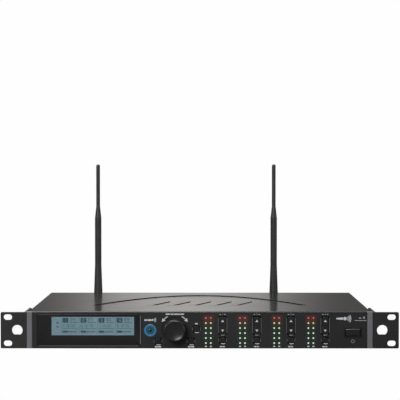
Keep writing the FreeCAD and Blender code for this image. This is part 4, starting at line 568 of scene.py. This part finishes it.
def grown(piece, tree, slot, values):
    """The piece after a Geometry Nodes tree has run on it, as plain mesh."""
    modifier = piece.modifiers.new(tree.name, "NODES")
    modifier.node_group = tree
    for label, value in values.items():
        modifier[socket_id(tree, label)] = value
    modifier[socket_id(tree, "Finish")] = MATERIALS[slot]
    return baked(piece)


def points_with_normals(name, places, normals):
    """A mesh of loose points that carry the way each copy faces."""
    mesh = bpy.data.meshes.new(name)
    mesh.from_pydata([tuple(p) for p in places], [], [])
    facing = mesh.attributes.new("facing", "FLOAT_VECTOR", "POINT")
    facing.data.foreach_set("vector", [c for n in normals for c in n])
    return placed(name, mesh)


def instance_tree(name, source):
    """A tree that stands a source object's shape on every point, turned to its normal."""
    def build(tree, start):
        shape = added(tree, "GeometryNodeObjectInfo", Object=source)
        facing = tree.nodes.new("GeometryNodeInputNamedAttribute")
        facing.data_type = "FLOAT_VECTOR"
        facing.inputs["Name"].default_value = "facing"
        turn = tree.nodes.new("FunctionNodeAlignEulerToVector")
        turn.axis = "Z"
        stand = tree.nodes.new("GeometryNodeInstanceOnPoints")
        size = tree.nodes.new("ShaderNodeCombineXYZ")
        for axis in "XYZ":
            tree.links.new(start.outputs["Size"], size.inputs[axis])
        wire(tree, (facing, "Attribute", turn, "Vector"), (start, "Geometry", stand, "Points"),
             (shape, "Geometry", stand, "Instance"), (turn, "Rotation", stand, "Rotation"),
             (size, "Vector", stand, "Scale"))
        return stand.outputs["Instances"]
    return repeats(name, ["Size"], build)


# ------------------------------------------------------------------ reading the frame

def solids(node):
    """(lowest corner, highest corner) of each separate solid in a CAD node."""
    bm = bmesh.new()
    bm.from_mesh(NODES[node].data)
    bmesh.ops.remove_doubles(bm, verts=bm.verts, dist=MERGE)
    waiting = set(bm.verts)
    boxes = []
    while waiting:
        reached = [waiting.pop()]
        corners = []
        while reached:
            vertex = reached.pop()
            corners.append(vertex.co.copy())
            for edge in vertex.link_edges:
                other = edge.other_vert(vertex)
                if other in waiting:
                    waiting.remove(other)
                    reached.append(other)
        boxes.append(bounds_of(corners))
    bm.free()
    return sorted(boxes, key=lambda pair: (round(pair[0].x, 4), round(pair[0].z, 4)))


def paint_nodes():
    """Gives every CAD node the material of its slot."""
    for part in frame["record"]["subparts"]:
        node = NODES[part["node"]]
        node.data.materials.clear()
        node.data.materials.append(MATERIALS[part["material_slot"]])


# ------------------------------------------------------------------ case

def case_shells():
    """The folded and moulded shells, with their sharp edges eased."""
    eased("top_cover", 0.35, "cover_paint")
    eased("front_panel", 0.22, "panel_plastic")
    for side in ("left", "right"):
        eased(f"rack_ear_{side}", 0.4, "ear_paint")
    # The housing's upward faces get a near-black matte: painted shade.
    matte_above(eased("power_switch_housing", 0.1, "switch_plastic"))
    rocker()
    for letter in "ab":
        eased(f"antenna_elbow_{letter}", 0.3, "elbow_plastic")


def rocker():
    """The power rocker, polished, with a painted highlight along its top edge."""
    piece = eased("power_rocker", 0.8, "switch_plastic", 3)
    piece.data.materials.clear()
    for paint in ("rocker_face", "painted_edge_highlight"):
        piece.data.materials.append(MATERIALS[paint])
    centre = centre_of("power_rocker")
    # Faces along the rocker's top front edge get a glowing grey: painted highlight.
    for face in piece.data.polygons:
        on_top = face.center.z > centre.z and 0.25 < face.normal.z < 0.98
        face.material_index = 1 if on_top and face.normal.y < -0.1 else 0


# ------------------------------------------------------------------ screws

def cut_with(piece, tool):
    """The piece with a tool's shape taken out of it."""
    modifier = piece.modifiers.new("cut", "BOOLEAN")
    modifier.operation = "DIFFERENCE"
    modifier.solver = "EXACT"
    modifier.use_self = True
    modifier.object = tool
    baked(piece)
    bpy.data.objects.remove(tool)
    return piece


def cross_tool(reach, wide, top, deep):
    """A cross-shaped wedge for a screw's recess."""
    bm = bmesh.new()
    for long_x, long_y in ((reach, wide), (wide, reach)):
        top_face = [(-long_x, -long_y), (long_x, -long_y), (long_x, long_y), (-long_x, long_y)]
        upper = [bm.verts.new((x, y, top)) for x, y in top_face]
        lower = [bm.verts.new((x * 0.55, y * 0.8, top - deep)) for x, y in top_face]
        bm.faces.new(upper)
        bm.faces.new(lower[::-1])
        join_rings(bm, [lower, upper])
    return from_bmesh("cross_tool", bm)


def screw_shape(radius, tall):
    """A pan head with a cross recess, standing on z = 0."""
    bm = bmesh.new()
    lathe(bm, [(0, 0), (radius * 0.97, 0), (radius, tall * 0.12), (radius * 0.98, tall * 0.45),
               (radius * 0.86, tall * 0.78), (radius * 0.6, tall * 0.95), (0, tall)],
          (0, 0, 0), "Z", 28)
    head = from_bmesh("screw_shape", bm, 50)
    tool = cross_tool(radius * 0.62, radius * 0.15, tall * 1.1, tall * 0.85)
    return cut_with(head, tool)


def screws():
    """Every outside screw, where the frame's screws are, facing the way they go in."""
    radius, tall = 3.0 * MM, 1.8 * MM
    places, normals = [], []
    for low, high in solids("case_screws"):
        spot = middle((low, high))
        if high.x - low.x < high.y - low.y:
            side = 1 if spot.x > 0 else -1
            spot.x = high.x - tall if side > 0 else low.x + tall
            normals.append((side, 0, 0))
        else:
            spot.y = high.y - tall
            normals.append((0, 1, 0))
        places.append(spot)
    head = screw_shape(radius, tall)
    heads = grown(points_with_normals("cross_screws", places, normals),
                  instance_tree("screws_on_points", head), "screw_black", {"Size": 1.0})
    bpy.data.objects.remove(head)
    shade(heads.data, 40)
    settle(heads, "screw_black", replaces=["case_screws"])


# ------------------------------------------------------------------ display

def box_tool(left, right, low, high, front, back):
    """A plain box used as a cutting tool."""
    bm = bmesh.new()
    bar(bm, left, right, low, high, back, back - front)
    return from_bmesh("box_tool", bm)


def screen_sides():
    """Left, right, low and high sides of the lit part of the screen."""
    low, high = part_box("lcd_glass")
    margin = 2.0 * MM
    return low.x + margin, high.x - margin, low.z + margin, high.z - margin


def display():
    """Gloss black window with a clear pane in front of the lit screen, and painted highlights on two of
    its edges.
    """
    left, right, low, high = screen_sides()
    lens_low, lens_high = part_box("display_window")
    front, back = lens_low.y, lens_high.y
    window = eased("display_window", 0.1, "window_black")
    cut_with(window, box_tool(left, right, low, high, front - MM, back + MM))
    shade(window.data, 30)
    settle(window, "window_black", replaces=["display_window"])
    # The window's upward faces get a near-black matte: painted shade above the opening.
    matte_above(window)
    gap = 0.03 * MM
    pane = bmesh.new()
    bar(pane, left + gap, right - gap, low + gap, high - gap, front + 1.3 * MM, 1.25 * MM)
    settle(from_bmesh("screen_pane", pane), "window_clear")
    # Glowing bars along the window's right and bottom edges: painted highlights.
    edges = bmesh.new()
    line = front + 0.45 * MM
    bar(edges, lens_high.x - 0.75 * MM, lens_high.x - 0.05 * MM, lens_low.z + 2.4 * MM,
        lens_high.z - 2.4 * MM, line, 0.4 * MM)
    bar(edges, lens_low.x + 2.6 * MM, lens_high.x - 2.6 * MM, lens_low.z + 0.05 * MM,
        lens_low.z + 0.45 * MM, line, 0.3 * MM)
    settle(from_bmesh("window_edges", edges), "window_black", paint="painted_edge_highlight")


SEGMENTS = {
    "0": "abcdef", "1": "bc", "2": "abged", "3": "abgcd", "4": "fgbc", "5": "afgcd",
    "6": "afgedc", "7": "abc", "8": "abcdefg", "9": "abcdfg",
}


def digit(bm, number, left, low, wide, tall, y):
    """A seven-segment figure."""
    stroke = wide * 0.2
    half = tall / 2
    bars = {
        "a": (left, left + wide, low + tall - stroke, low + tall),
        "g": (left, left + wide, low + half - stroke / 2, low + half + stroke / 2),
        "d": (left, left + wide, low, low + stroke),
        "f": (left, left + stroke, low + half, low + tall),
        "e": (left, left + stroke, low, low + half),
        "b": (left + wide - stroke, left + wide, low + half, low + tall),
        "c": (left + wide - stroke, left + wide, low, low + half),
    }
    for segment in SEGMENTS[number]:
        bar(bm, *bars[segment], y, SCREEN_INK)


def figures(bm, text, left, low, wide, tall, y):
    """A row of figures; a dot takes half a place."""
    for letter in text:
        if letter == ".":
            bar(bm, left, left + wide * 0.25, low, low + wide * 0.25, y, SCREEN_INK)
            left += wide * 0.5
        else:
            digit(bm, letter, left, low, wide, tall, y)
            left += wide * 1.35


def cell_row_tree():
    """A row of upright cells from a start point, by count, pitch and size."""
    def build(tree, start):
        row = tree.nodes.new("GeometryNodeMeshLine")
        step = tree.nodes.new("ShaderNodeCombineXYZ")
        cell = tree.nodes.new("GeometryNodeMeshCube")
        size = tree.nodes.new("ShaderNodeCombineXYZ")
        stand = tree.nodes.new("GeometryNodeInstanceOnPoints")
        rows = tree.nodes.new("GeometryNodeInstanceOnPoints")
        wire(tree, (start, "Pitch", step, "X"), (step, "Vector", row, "Offset"),
             (start, "Count", row, "Count"), (start, "Wide", size, "X"),
             (start, "Thick", size, "Y"), (start, "Tall", size, "Z"),
             (size, "Vector", cell, "Size"), (row, "Mesh", stand, "Points"),
             (cell, "Mesh", stand, "Instance"), (start, "Geometry", rows, "Points"),
             (stand, "Instances", rows, "Instance"))
        return rows.outputs["Instances"]
    return repeats("row_of_cells", ["Count", "Pitch", "Wide", "Thick", "Tall"], build)


def screen_content():
    """What the screen shows: a column of icons and a block for each channel."""
    left, right, low, high = screen_sides()
    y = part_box("lcd_glass")[0].y
    thick = SCREEN_INK
    wide, tall = right - left, high - low
    first = left + wide * 0.119
    pitch = wide * 0.2195
    dark, faint, lit = bmesh.new(), bmesh.new(), bmesh.new()
    starts = []
    for number in range(CHANNELS):
        x = first + pitch * number
        bar(faint, x - 0.3 * MM, x, low + tall * 0.05, high - tall * 0.05, y, thick)
        box_left, box_low = x + 0.9 * MM, low + tall * 0.66
        slab(dark, rounded_points(box_left, box_left + 7.2 * MM, box_low, box_low + tall * 0.27,
                                  1.0 * MM), y, thick)
        digit(lit, str(number + 1), box_left + 2.5 * MM, box_low + tall * 0.04, 2.2 * MM,
              tall * 0.19, y - thick)
        figures(dark, f"{24 + number * 3}", box_left + 8.8 * MM, low + tall * 0.75,
                2.6 * MM, tall * 0.16, y)
        bar(faint, box_left + 8.8 * MM, x + pitch - 2.4 * MM, low + tall * 0.655,
            low + tall * 0.69, y, thick)
        figures(faint, f"{5 + number}18.{25 * (number % 2) + 50}", x + 1.3 * MM,
                low + tall * 0.42, 2.15 * MM, tall * 0.15, y)
        bar(faint, x + 1.0 * MM, x + pitch - 1.5 * MM, low + tall * 0.335, low + tall * 0.36,
            y, thick)
        starts.append((x + 2.0 * MM, y - thick / 2, low + tall * 0.18))
        bar(dark, x + 1.2 * MM, x + 7.4 * MM, low + tall * 0.12, low + tall * 0.24, y, thick)
    for share in (0.62, 0.40):
        icon_left = left + wide * 0.055
        bar(faint, icon_left, icon_left + 3.0 * MM, low + tall * share,
            low + tall * (share + 0.09), y, thick)
    settle(from_bmesh("screen_marks", dark), "screen_ink")
    settle(from_bmesh("screen_faint_marks", faint), "screen_ink", paint="screen_faint")
    settle(from_bmesh("screen_numbers", lit), "screen_glass")
    cells = grown(points_with_normals("screen_cells", starts, [(0, -1, 0)] * CHANNELS),
                  cell_row_tree(), "screen_faint",
                  {"Count": 7.0, "Pitch": 2.55 * MM, "Wide": 1.7 * MM, "Thick": thick,
                   "Tall": tall * 0.09})
    settle(cells, "screen_ink", paint="screen_faint")


def round_point(x, z, radius, angle):
    """A point of a circle in the XZ plane."""
    return x + radius * math.cos(angle), z + radius * math.sin(angle)


def rounded_points(left, right, low, high, radius, steps=4):
    """The outline of a rectangle with rounded corners."""
    points = []
    for x, z, turn in ((right - radius, low + radius, -90), (right - radius, high - radius, 0),
                       (left + radius, high - radius, 90), (left + radius, low + radius, 180)):
        points += [round_point(x, z, radius, math.radians(turn + 90 * step / steps))
                   for step in range(steps + 1)]
    return points


# ------------------------------------------------------------------ knob and port

def knob():
    """Turned knob: fluted skirt, bright bevel and a dished face."""
    low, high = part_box("encoder_knob")
    spot = middle((low, high))
    radius = (high.x - low.x) / 2
    front, back = low.y, high.y
    bore, hollow, hollow_deep = 3.1 * MM, radius - 2.2 * MM, 5.2 * MM
    face = radius - 2.9 * MM
    flutes, flute_deep, steps = 36, 0.42 * MM, 288
    skirt_rings, dish_rings = 9, 9
    profile = [(bore, back - hollow_deep, 0), (hollow, back - hollow_deep, 0), (hollow, back, 0),
               (radius - 0.3 * MM, back, 0), (radius, back - 0.3 * MM, 0)]
    start, end = back - 0.7 * MM, front + 3.4 * MM
    for step in range(skirt_rings + 1):
        share = step / skirt_rings
        fluted = 1.0 if 0 < step < skirt_rings else 0.0
        profile.append((radius - 0.25 * MM * share, start + (end - start) * share, fluted))
    profile += [(radius - inset * MM, front + behind * MM, 0) for inset, behind in
                ((0.3, 2.6), (0.4, 1.6), (1.8, 0.12), (2.0, 0), (2.6, 0), (2.9, 0.2))]
    for step in range(1, dish_rings + 1):
        share = 1 - step / dish_rings
        dish = (1 - share ** 2) * KNOB_DISH
        profile.append((face * share, front + 0.25 * MM + dish, 0))
    bm = bmesh.new()
    rings = []
    for ring_radius, y, fluted in profile:
        turns = [2 * math.pi * step / steps for step in range(steps if ring_radius else 1)]
        ring = []
        for turn in turns:
            wave = 0.5 - 0.5 * math.cos(flutes * turn)
            x, z = round_point(spot.x, spot.z, ring_radius - fluted * flute_deep * wave ** 3, turn)
            ring.append(bm.verts.new((x, y, z)))
        rings.append(ring)
    join_rings(bm, rings)
    bm.faces.new(rings[0][::-1])
    settle(from_bmesh("turned_knob", bm, 42), "knob_plastic", "knob", ["encoder_knob"])


def port_lens():
    """Dark dome in the middle of the round button."""
    spot = centre_of("sync_button")
    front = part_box("sync_button")[0].y + 0.52 * MM
    radius, sunk, steps = 2.1 * MM, 0.1 * MM, 6
    tall = radius * 0.45
    dome = [(radius * math.cos(a), -tall * math.sin(a))
            for a in (math.pi / 2 * k / steps for k in range(steps))]
    bm = bmesh.new()
    lathe(bm, [(0, sunk), (radius, sunk)] + dome + [(0, -tall)], (spot.x, front, spot.z), "Y", 32)
    settle(from_bmesh("port_lens", bm, 50), "window_black", BODY_OF["sync_button"],
           paint="port_dark")


# ------------------------------------------------------------------ key surrounds

def key_rims():
    """In every key's opening, a glossy bevelled rim, with painted highlights: bright bars at its sides
    and a crescent at its foot.
    """
    rims, glints, sides = bmesh.new(), bmesh.new(), bmesh.new()
    rim_wide = 0.85 * MM
    for name in sorted(NODES):
        if not name.endswith("_key") and "_key_" not in name:
            continue
        rocking = name.startswith("volume")
        low, high = key_face(name)
        gap = 0.55 * MM if rocking else 0.35 * MM
        inner = rounded_points(low.x - 0.3 * MM, high.x + 0.3 * MM, low.z - gap, high.z + gap,
                               2.1 * MM, 6)
        gap += rim_wide
        outer = rounded_points(low.x - 0.3 * MM - rim_wide, high.x + 0.3 * MM + rim_wide,
                               low.z - gap, high.z + gap, 2.9 * MM, 6)
        rim_between(rims, inner, outer, FRONT + 0.78 * MM, FRONT - 0.07 * MM)
        foot = low.z - gap - 0.1 * MM
        # Glowing bars at both sides of the opening: painted highlights.
        for x in (low.x - 0.95 * MM, high.x + 0.95 * MM):
            bar(sides, x - 0.3 * MM, x + 0.3 * MM, foot + 2.6 * MM, high.z - 1.2 * MM,
                FRONT - 0.02 * MM)
        # A glowing crescent at the foot of the opening: painted highlight.
        crescent(sides if rocking else glints, (low.x + high.x) / 2 + 0.6 * MM, foot,
                 2.9 * MM, 1.0 * MM)
    for name, bm, paint in (("key_rims", rims, "key_rim"), ("key_glints", glints, "key_foot_painted_highlight"),
                            ("key_side_edges", sides, "key_edge")):
        settle(from_bmesh(name, bm, 30), "key_plastic", paint=paint)


def crescent(bm, x, z, half, tall, steps=10):
    """A painted highlight: a crescent at the foot of a key's opening, thickest in its middle."""
    shares = [2 * k / steps - 1 for k in range(steps + 1)]
    lower = [(x + half * u, z + tall * 0.9 * u * u) for u in shares]
    upper = [(x + half * u, z + tall * (0.35 + 0.55 * u * u)) for u in shares[-2:0:-1]]
    slab(bm, lower + [(px, pz + tall * 0.45) for px, pz in upper], FRONT - 0.02 * MM, INK)


def key_face(name):
    """The box of the part of a key that shows in front of the panel."""
    limit = FRONT + 0.1 * MM
    return bounds_of([v.co for v in NODES[name].data.vertices if v.co.y < limit])


def rim_between(bm, inner, outer, inner_y, outer_y):
    """A closed bevelled ring between two outlines at two depths."""
    depth = 0.3 * MM
    rows = [[bm.verts.new((x, y, z)) for x, z in points]
            for points, y in ((inner, inner_y), (outer, outer_y), (outer, outer_y + depth),
                              (inner, inner_y + depth))]
    join_rings(bm, rows + rows[:1])


# ------------------------------------------------------------------ lights

def lamp_shape(radius, tall):
    """A small domed lamp on z = 0, pointing up."""
    bm = bmesh.new()
    rings = 5
    dome = [(radius * math.cos(math.pi / 2 * k / rings),
             tall * 0.45 + tall * 0.55 * math.sin(math.pi / 2 * k / rings))
            for k in range(rings)]
    lathe(bm, [(0, -2 * MM), (radius, -2 * MM)] + dome + [(0, tall)], (0, 0, 0), "Z", 20)
    return from_bmesh("lamp_shape", bm, 60)


def level_lamps():
    """Domed lamps in the place of each colour's plain ones."""
    for colour in ("green", "amber", "red"):
        node = f"{colour}_lights"
        boxes = solids(node)
        radius = (boxes[0][1].x - boxes[0][0].x) / 2
        source = lamp_shape(radius, 0.95 * MM)
        places = [(middle(b).x, FRONT, middle(b).z) for b in boxes]
        lamps = grown(points_with_normals(f"{colour}_lamps", places, [(0, -1, 0)] * len(places)),
                      instance_tree(f"{colour}_lamps_on_points", source), f"light_{colour}",
                      {"Size": 1.0})
        bpy.data.objects.remove(source)
        shade(lamps.data, 60)
        settle(lamps, f"light_{colour}", replaces=[node])


GLOW = {"red": (0.13, 0.005, 0.003), "amber": (0.04, 0.022, 0.001),
        "green": (0.0, 0.019, 0.001)}


def glow_at(spot, lamps, reach):
    """How much coloured light the lamps within reach throw on a spot of the panel."""
    total = Vector((0, 0, 0))
    for colour, place in lamps:
        share = 1 - Vector((spot.x - place.x, spot.z - place.z)).length / reach
        if share > 0:
            total += Vector(GLOW[colour]) * share ** 1.5
    return total


def lamp_glow():
    """A thin skin on the panel round each block of lamps, tinted by their light."""
    lamps = [(colour, middle(b)) for colour in GLOW for b in solids(f"{colour}_lights")]
    columns = sorted({round(place.x, 5) for _, place in lamps})
    heights = [place.z for _, place in lamps]
    reach, step = 5.5 * MM, 0.9 * MM
    low, high = min(heights) - 3.2 * MM, max(heights) + 4.0 * MM
    bm = bmesh.new()
    for left, right in zip(columns[::2], columns[1::2]):
        left, right = left - reach, right + reach
        across, up = round((right - left) / step), round((high - low) / step)
        rows = [[bm.verts.new((left + (right - left) * i / across, FRONT - INK / 2,
                               low + (high - low) * k / up)) for i in range(across + 1)]
                for k in range(up + 1)]
        for lower, upper in zip(rows, rows[1:]):
            for i in range(across):
                bm.faces.new((lower[i], lower[i + 1], upper[i + 1], upper[i]))
        rim = (rows[0] + [row[-1] for row in rows[1:]] + rows[-1][-2::-1]
               + [row[0] for row in rows[-2:0:-1]])
        back = [bm.verts.new((v.co.x, FRONT, v.co.z)) for v in rim]
        join_rings(bm, [back, rim])
        bm.faces.new(back[::-1])
    piece = from_bmesh("lamp_glow", bm)
    tint = piece.data.attributes.new("tint", "FLOAT_COLOR", "POINT")
    for number, vertex in enumerate(piece.data.vertices):
        tint.data[number].color = (*glow_at(vertex.co, lamps, reach), 1)
    settle(piece, "panel_plastic", paint="panel_glow")


# ------------------------------------------------------------------ printing

def ring_arc(bm, x, z, radius, start, end, wide, steps=28, y=FRONT):
    """Part of a flat ring, between two angles in degrees."""
    angles = [math.radians(start + (end - start) * k / steps) for k in range(steps + 1)]
    outer = [round_point(x, z, radius + wide / 2, a) for a in angles]
    inner = [round_point(x, z, radius - wide / 2, a) for a in angles]
    for k in range(steps):
        slab(bm, [inner[k], outer[k], outer[k + 1], inner[k + 1]], y, INK)


def numeral(bm, text, x, z, tall, y=FRONT, facing=-1):
    """A printed number, centred on x and z, on the front (-1) or the back (1)."""
    curve = bpy.data.curves.new("numeral", "FONT")
    curve.body = text
    curve.size = tall * 1.4
    curve.align_x, curve.align_y = "CENTER", "CENTER"
    curve.extrude = INK / 2
    written = placed("numeral", curve)
    bpy.context.view_layer.update()
    graph = bpy.context.evaluated_depsgraph_get()
    mesh = bpy.data.meshes.new_from_object(written.evaluated_get(graph))
    spin = Matrix.Rotation(0 if facing < 0 else math.pi, 4, "Z")
    mesh.transform(Matrix.Translation((x, y, z)) @ spin @ Matrix.Rotation(math.pi / 2, 4, "X"))
    bm.from_mesh(mesh)
    bpy.data.objects.remove(written)


def triangle(bm, x, z, half, tall, y):
    """A printed triangle that points up, or down with a negative height."""
    slab(bm, [(x - half, z), (x + half, z), (x, z + tall)], y, INK)


def curved_arrow(bm, x, z, radius, start, end):
    """An arrow that bends round the knob."""
    ring_arc(bm, x, z, radius, start, end, 1.1 * MM, 14)
    tip = math.radians(end)
    way = 1 if end > start else -1
    point = Vector((math.cos(tip), math.sin(tip)))
    ahead = Vector((-point.y, point.x)) * way
    base = Vector((x, z)) + point * radius
    corners = [base + point * 2.3 * MM, base - point * 2.3 * MM, base + ahead * 4.0 * MM]
    slab(bm, [tuple(c) for c in corners], FRONT, INK)


def keys_from(word):
    """The middles of the keys whose nodes start with a word."""
    return [centre_of(node) for node in sorted(NODES) if node.startswith(word)]


def dashes(bm, x, z, widths, tall, y=FRONT):
    """A centred row of printed dashes. Widths and height are in millimetres."""
    gap = 0.6 * MM
    whole = sum(widths) * MM + gap * (len(widths) - 1)
    left = x - whole / 2
    for wide in widths:
        bar(bm, left, left + wide * MM, z - tall * MM / 2, z + tall * MM / 2, y)
        left += wide * MM + gap


def front_printing():
    """White marks on the panel: numbers, arrows and plain bars under the keys."""
    top, below_volume, foot = 41.3 * MM, 16.1 * MM, 2.2 * MM
    bm, faint = bmesh.new(), bmesh.new()
    for number, key in enumerate(keys_from("select_key"), start=1):
        numeral(faint, str(number), key.x, top, 2.4 * MM)
        for side in (-1, 1):
            dashes(faint, key.x + 2.9 * MM * side, top, (2.0,), 1.1)
        dashes(bm, key.x - 0.4 * MM, foot, (3.0, 2.2), 1.5)
        dashes(faint, key.x, below_volume, (3.6,), 0.9)
    for name in ("left_menu_key", "right_menu_key"):
        dashes(bm, centre_of(name).x, 2.1 * MM, (3.2, 3.6), 1.9)
    scan = centre_of("scan_key")
    dashes(bm, scan.x, scan.z + 6.6 * MM, (3.4,), 1.5)
    for x in sorted({round(middle(b).x, 5) for b in solids("red_lights")}):
        dashes(bm, x, 2.5 * MM, (2.4,), 1.4)
    ring = centre_of("sync_light_ring")
    sign = 34.6 * MM
    dashes(bm, ring.x - 2.6 * MM, 34.4 * MM, (3.2, 5.0), 2.0)
    slab(bm, [(ring.x + 2.2 * MM, sign - 1.6 * MM), (ring.x + 4.8 * MM, sign),
              (ring.x + 2.2 * MM, sign + 1.6 * MM)], FRONT, INK)
    for radius in (1.8 * MM, 3.3 * MM):
        ring_arc(bm, ring.x + 3.6 * MM, sign, radius, -50, 50, 0.7 * MM, 8)
    turned = centre_of("encoder_knob")
    dashes(bm, turned.x, 41.6 * MM, (5.4, 3.6, 7.0, 4.4), 1.5)
    for start, end in ((118, 136), (62, 44)):
        curved_arrow(bm, turned.x, turned.z, 18.2 * MM, start, end)
    settle(from_bmesh("front_printing", bm), "legend_white")
    settle(from_bmesh("front_fine_printing", faint), "legend_grey")
    power_symbol()
    microphone_sign()
    for number, key in enumerate(keys_from("volume_key"), start=1):
        bm = bmesh.new()
        node = f"volume_key_{number}"
        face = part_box(node)[0].y
        triangle(bm, key.x, key.z + 4.3 * MM, 1.9 * MM, 2.7 * MM, face)
        triangle(bm, key.x, key.z - 5.0 * MM, 1.9 * MM, -2.7 * MM, face)
        settle(from_bmesh(f"volume_marks_{number}", bm), "legend_white", BODY_OF[node])


def power_symbol():
    """A broken ring with a line, below the power switch."""
    bm = bmesh.new()
    switch = centre_of("power_switch_housing")
    z = switch.z - 10.7 * MM
    ring_arc(bm, switch.x, z, 1.9 * MM, 120, 420, 0.5 * MM)
    dashes(bm, switch.x, z + 1.6 * MM, (0.5,), 2.2)
    settle(from_bmesh("power_symbol", bm), "legend_grey")


def microphone_sign():
    """A generic handheld microphone with waves, and a figure, at the upper right."""
    bm = bmesh.new()
    switch = centre_of("power_switch_housing")
    x, z = switch.x - 15.5 * MM, 36.3 * MM
    handle_end, neck, head = x - 4.6 * MM, x + 3.4 * MM, x + 5.9 * MM
    slab(bm, [(handle_end, z - 0.9 * MM), (neck, z - 1.5 * MM), (neck, z + 1.5 * MM),
              (handle_end, z + 0.9 * MM)], FRONT, INK)
    slab(bm, [round_point(head, z, 2.1 * MM, 2 * math.pi * k / 20) for k in range(20)],
         FRONT, INK)
    for step in range(3):
        ring_arc(bm, x + 6.2 * MM, z, (3.5 + 1.7 * step) * MM, -38, 38, 0.85 * MM, 10)
    bar(bm, switch.x + 2.0 * MM, switch.x + 16.5 * MM, z - 2.6 * MM, z - 2.2 * MM, FRONT)
    numeral(bm, "4", switch.x + 13.4 * MM, z + 0.9 * MM, 3.4 * MM)
    dashes(bm, switch.x + 8.8 * MM, z + 0.7 * MM, (2.4,), 0.9)
    settle(from_bmesh("microphone_sign", bm), "legend_white")


# ------------------------------------------------------------------ rear

def rear_printing():
    """Channel numbers and signs beside the rear sockets."""
    bm = bmesh.new()
    y = REAR + INK
    for number in range(1, CHANNELS + 1):
        spot = centre_of(f"xlr_socket_{number}")
        numeral(bm, str(number), spot.x + 22.7 * MM, 34.5 * MM, 3.2 * MM, y, 1)
    for collar in solids("bnc_collars"):
        x = middle(collar).x
        dashes(bm, x, 35.0 * MM, (0.8,), 4.0, y)
        for start in (-50, 130):
            ring_arc(bm, x, 36.4 * MM, 2.0 * MM, start, start + 100, 0.6 * MM, 10, y)
    settle(from_bmesh("rear_printing", bm), "legend_white")


def assemble():
    """Builds the whole picture."""
    camera()
    studio()
    paint_nodes()
    case_shells()
    screws()
    display()
    screen_content()
    knob()
    port_lens()
    key_rims()
    level_lamps()
    lamp_glow()
    front_printing()
    rear_printing()


assemble()
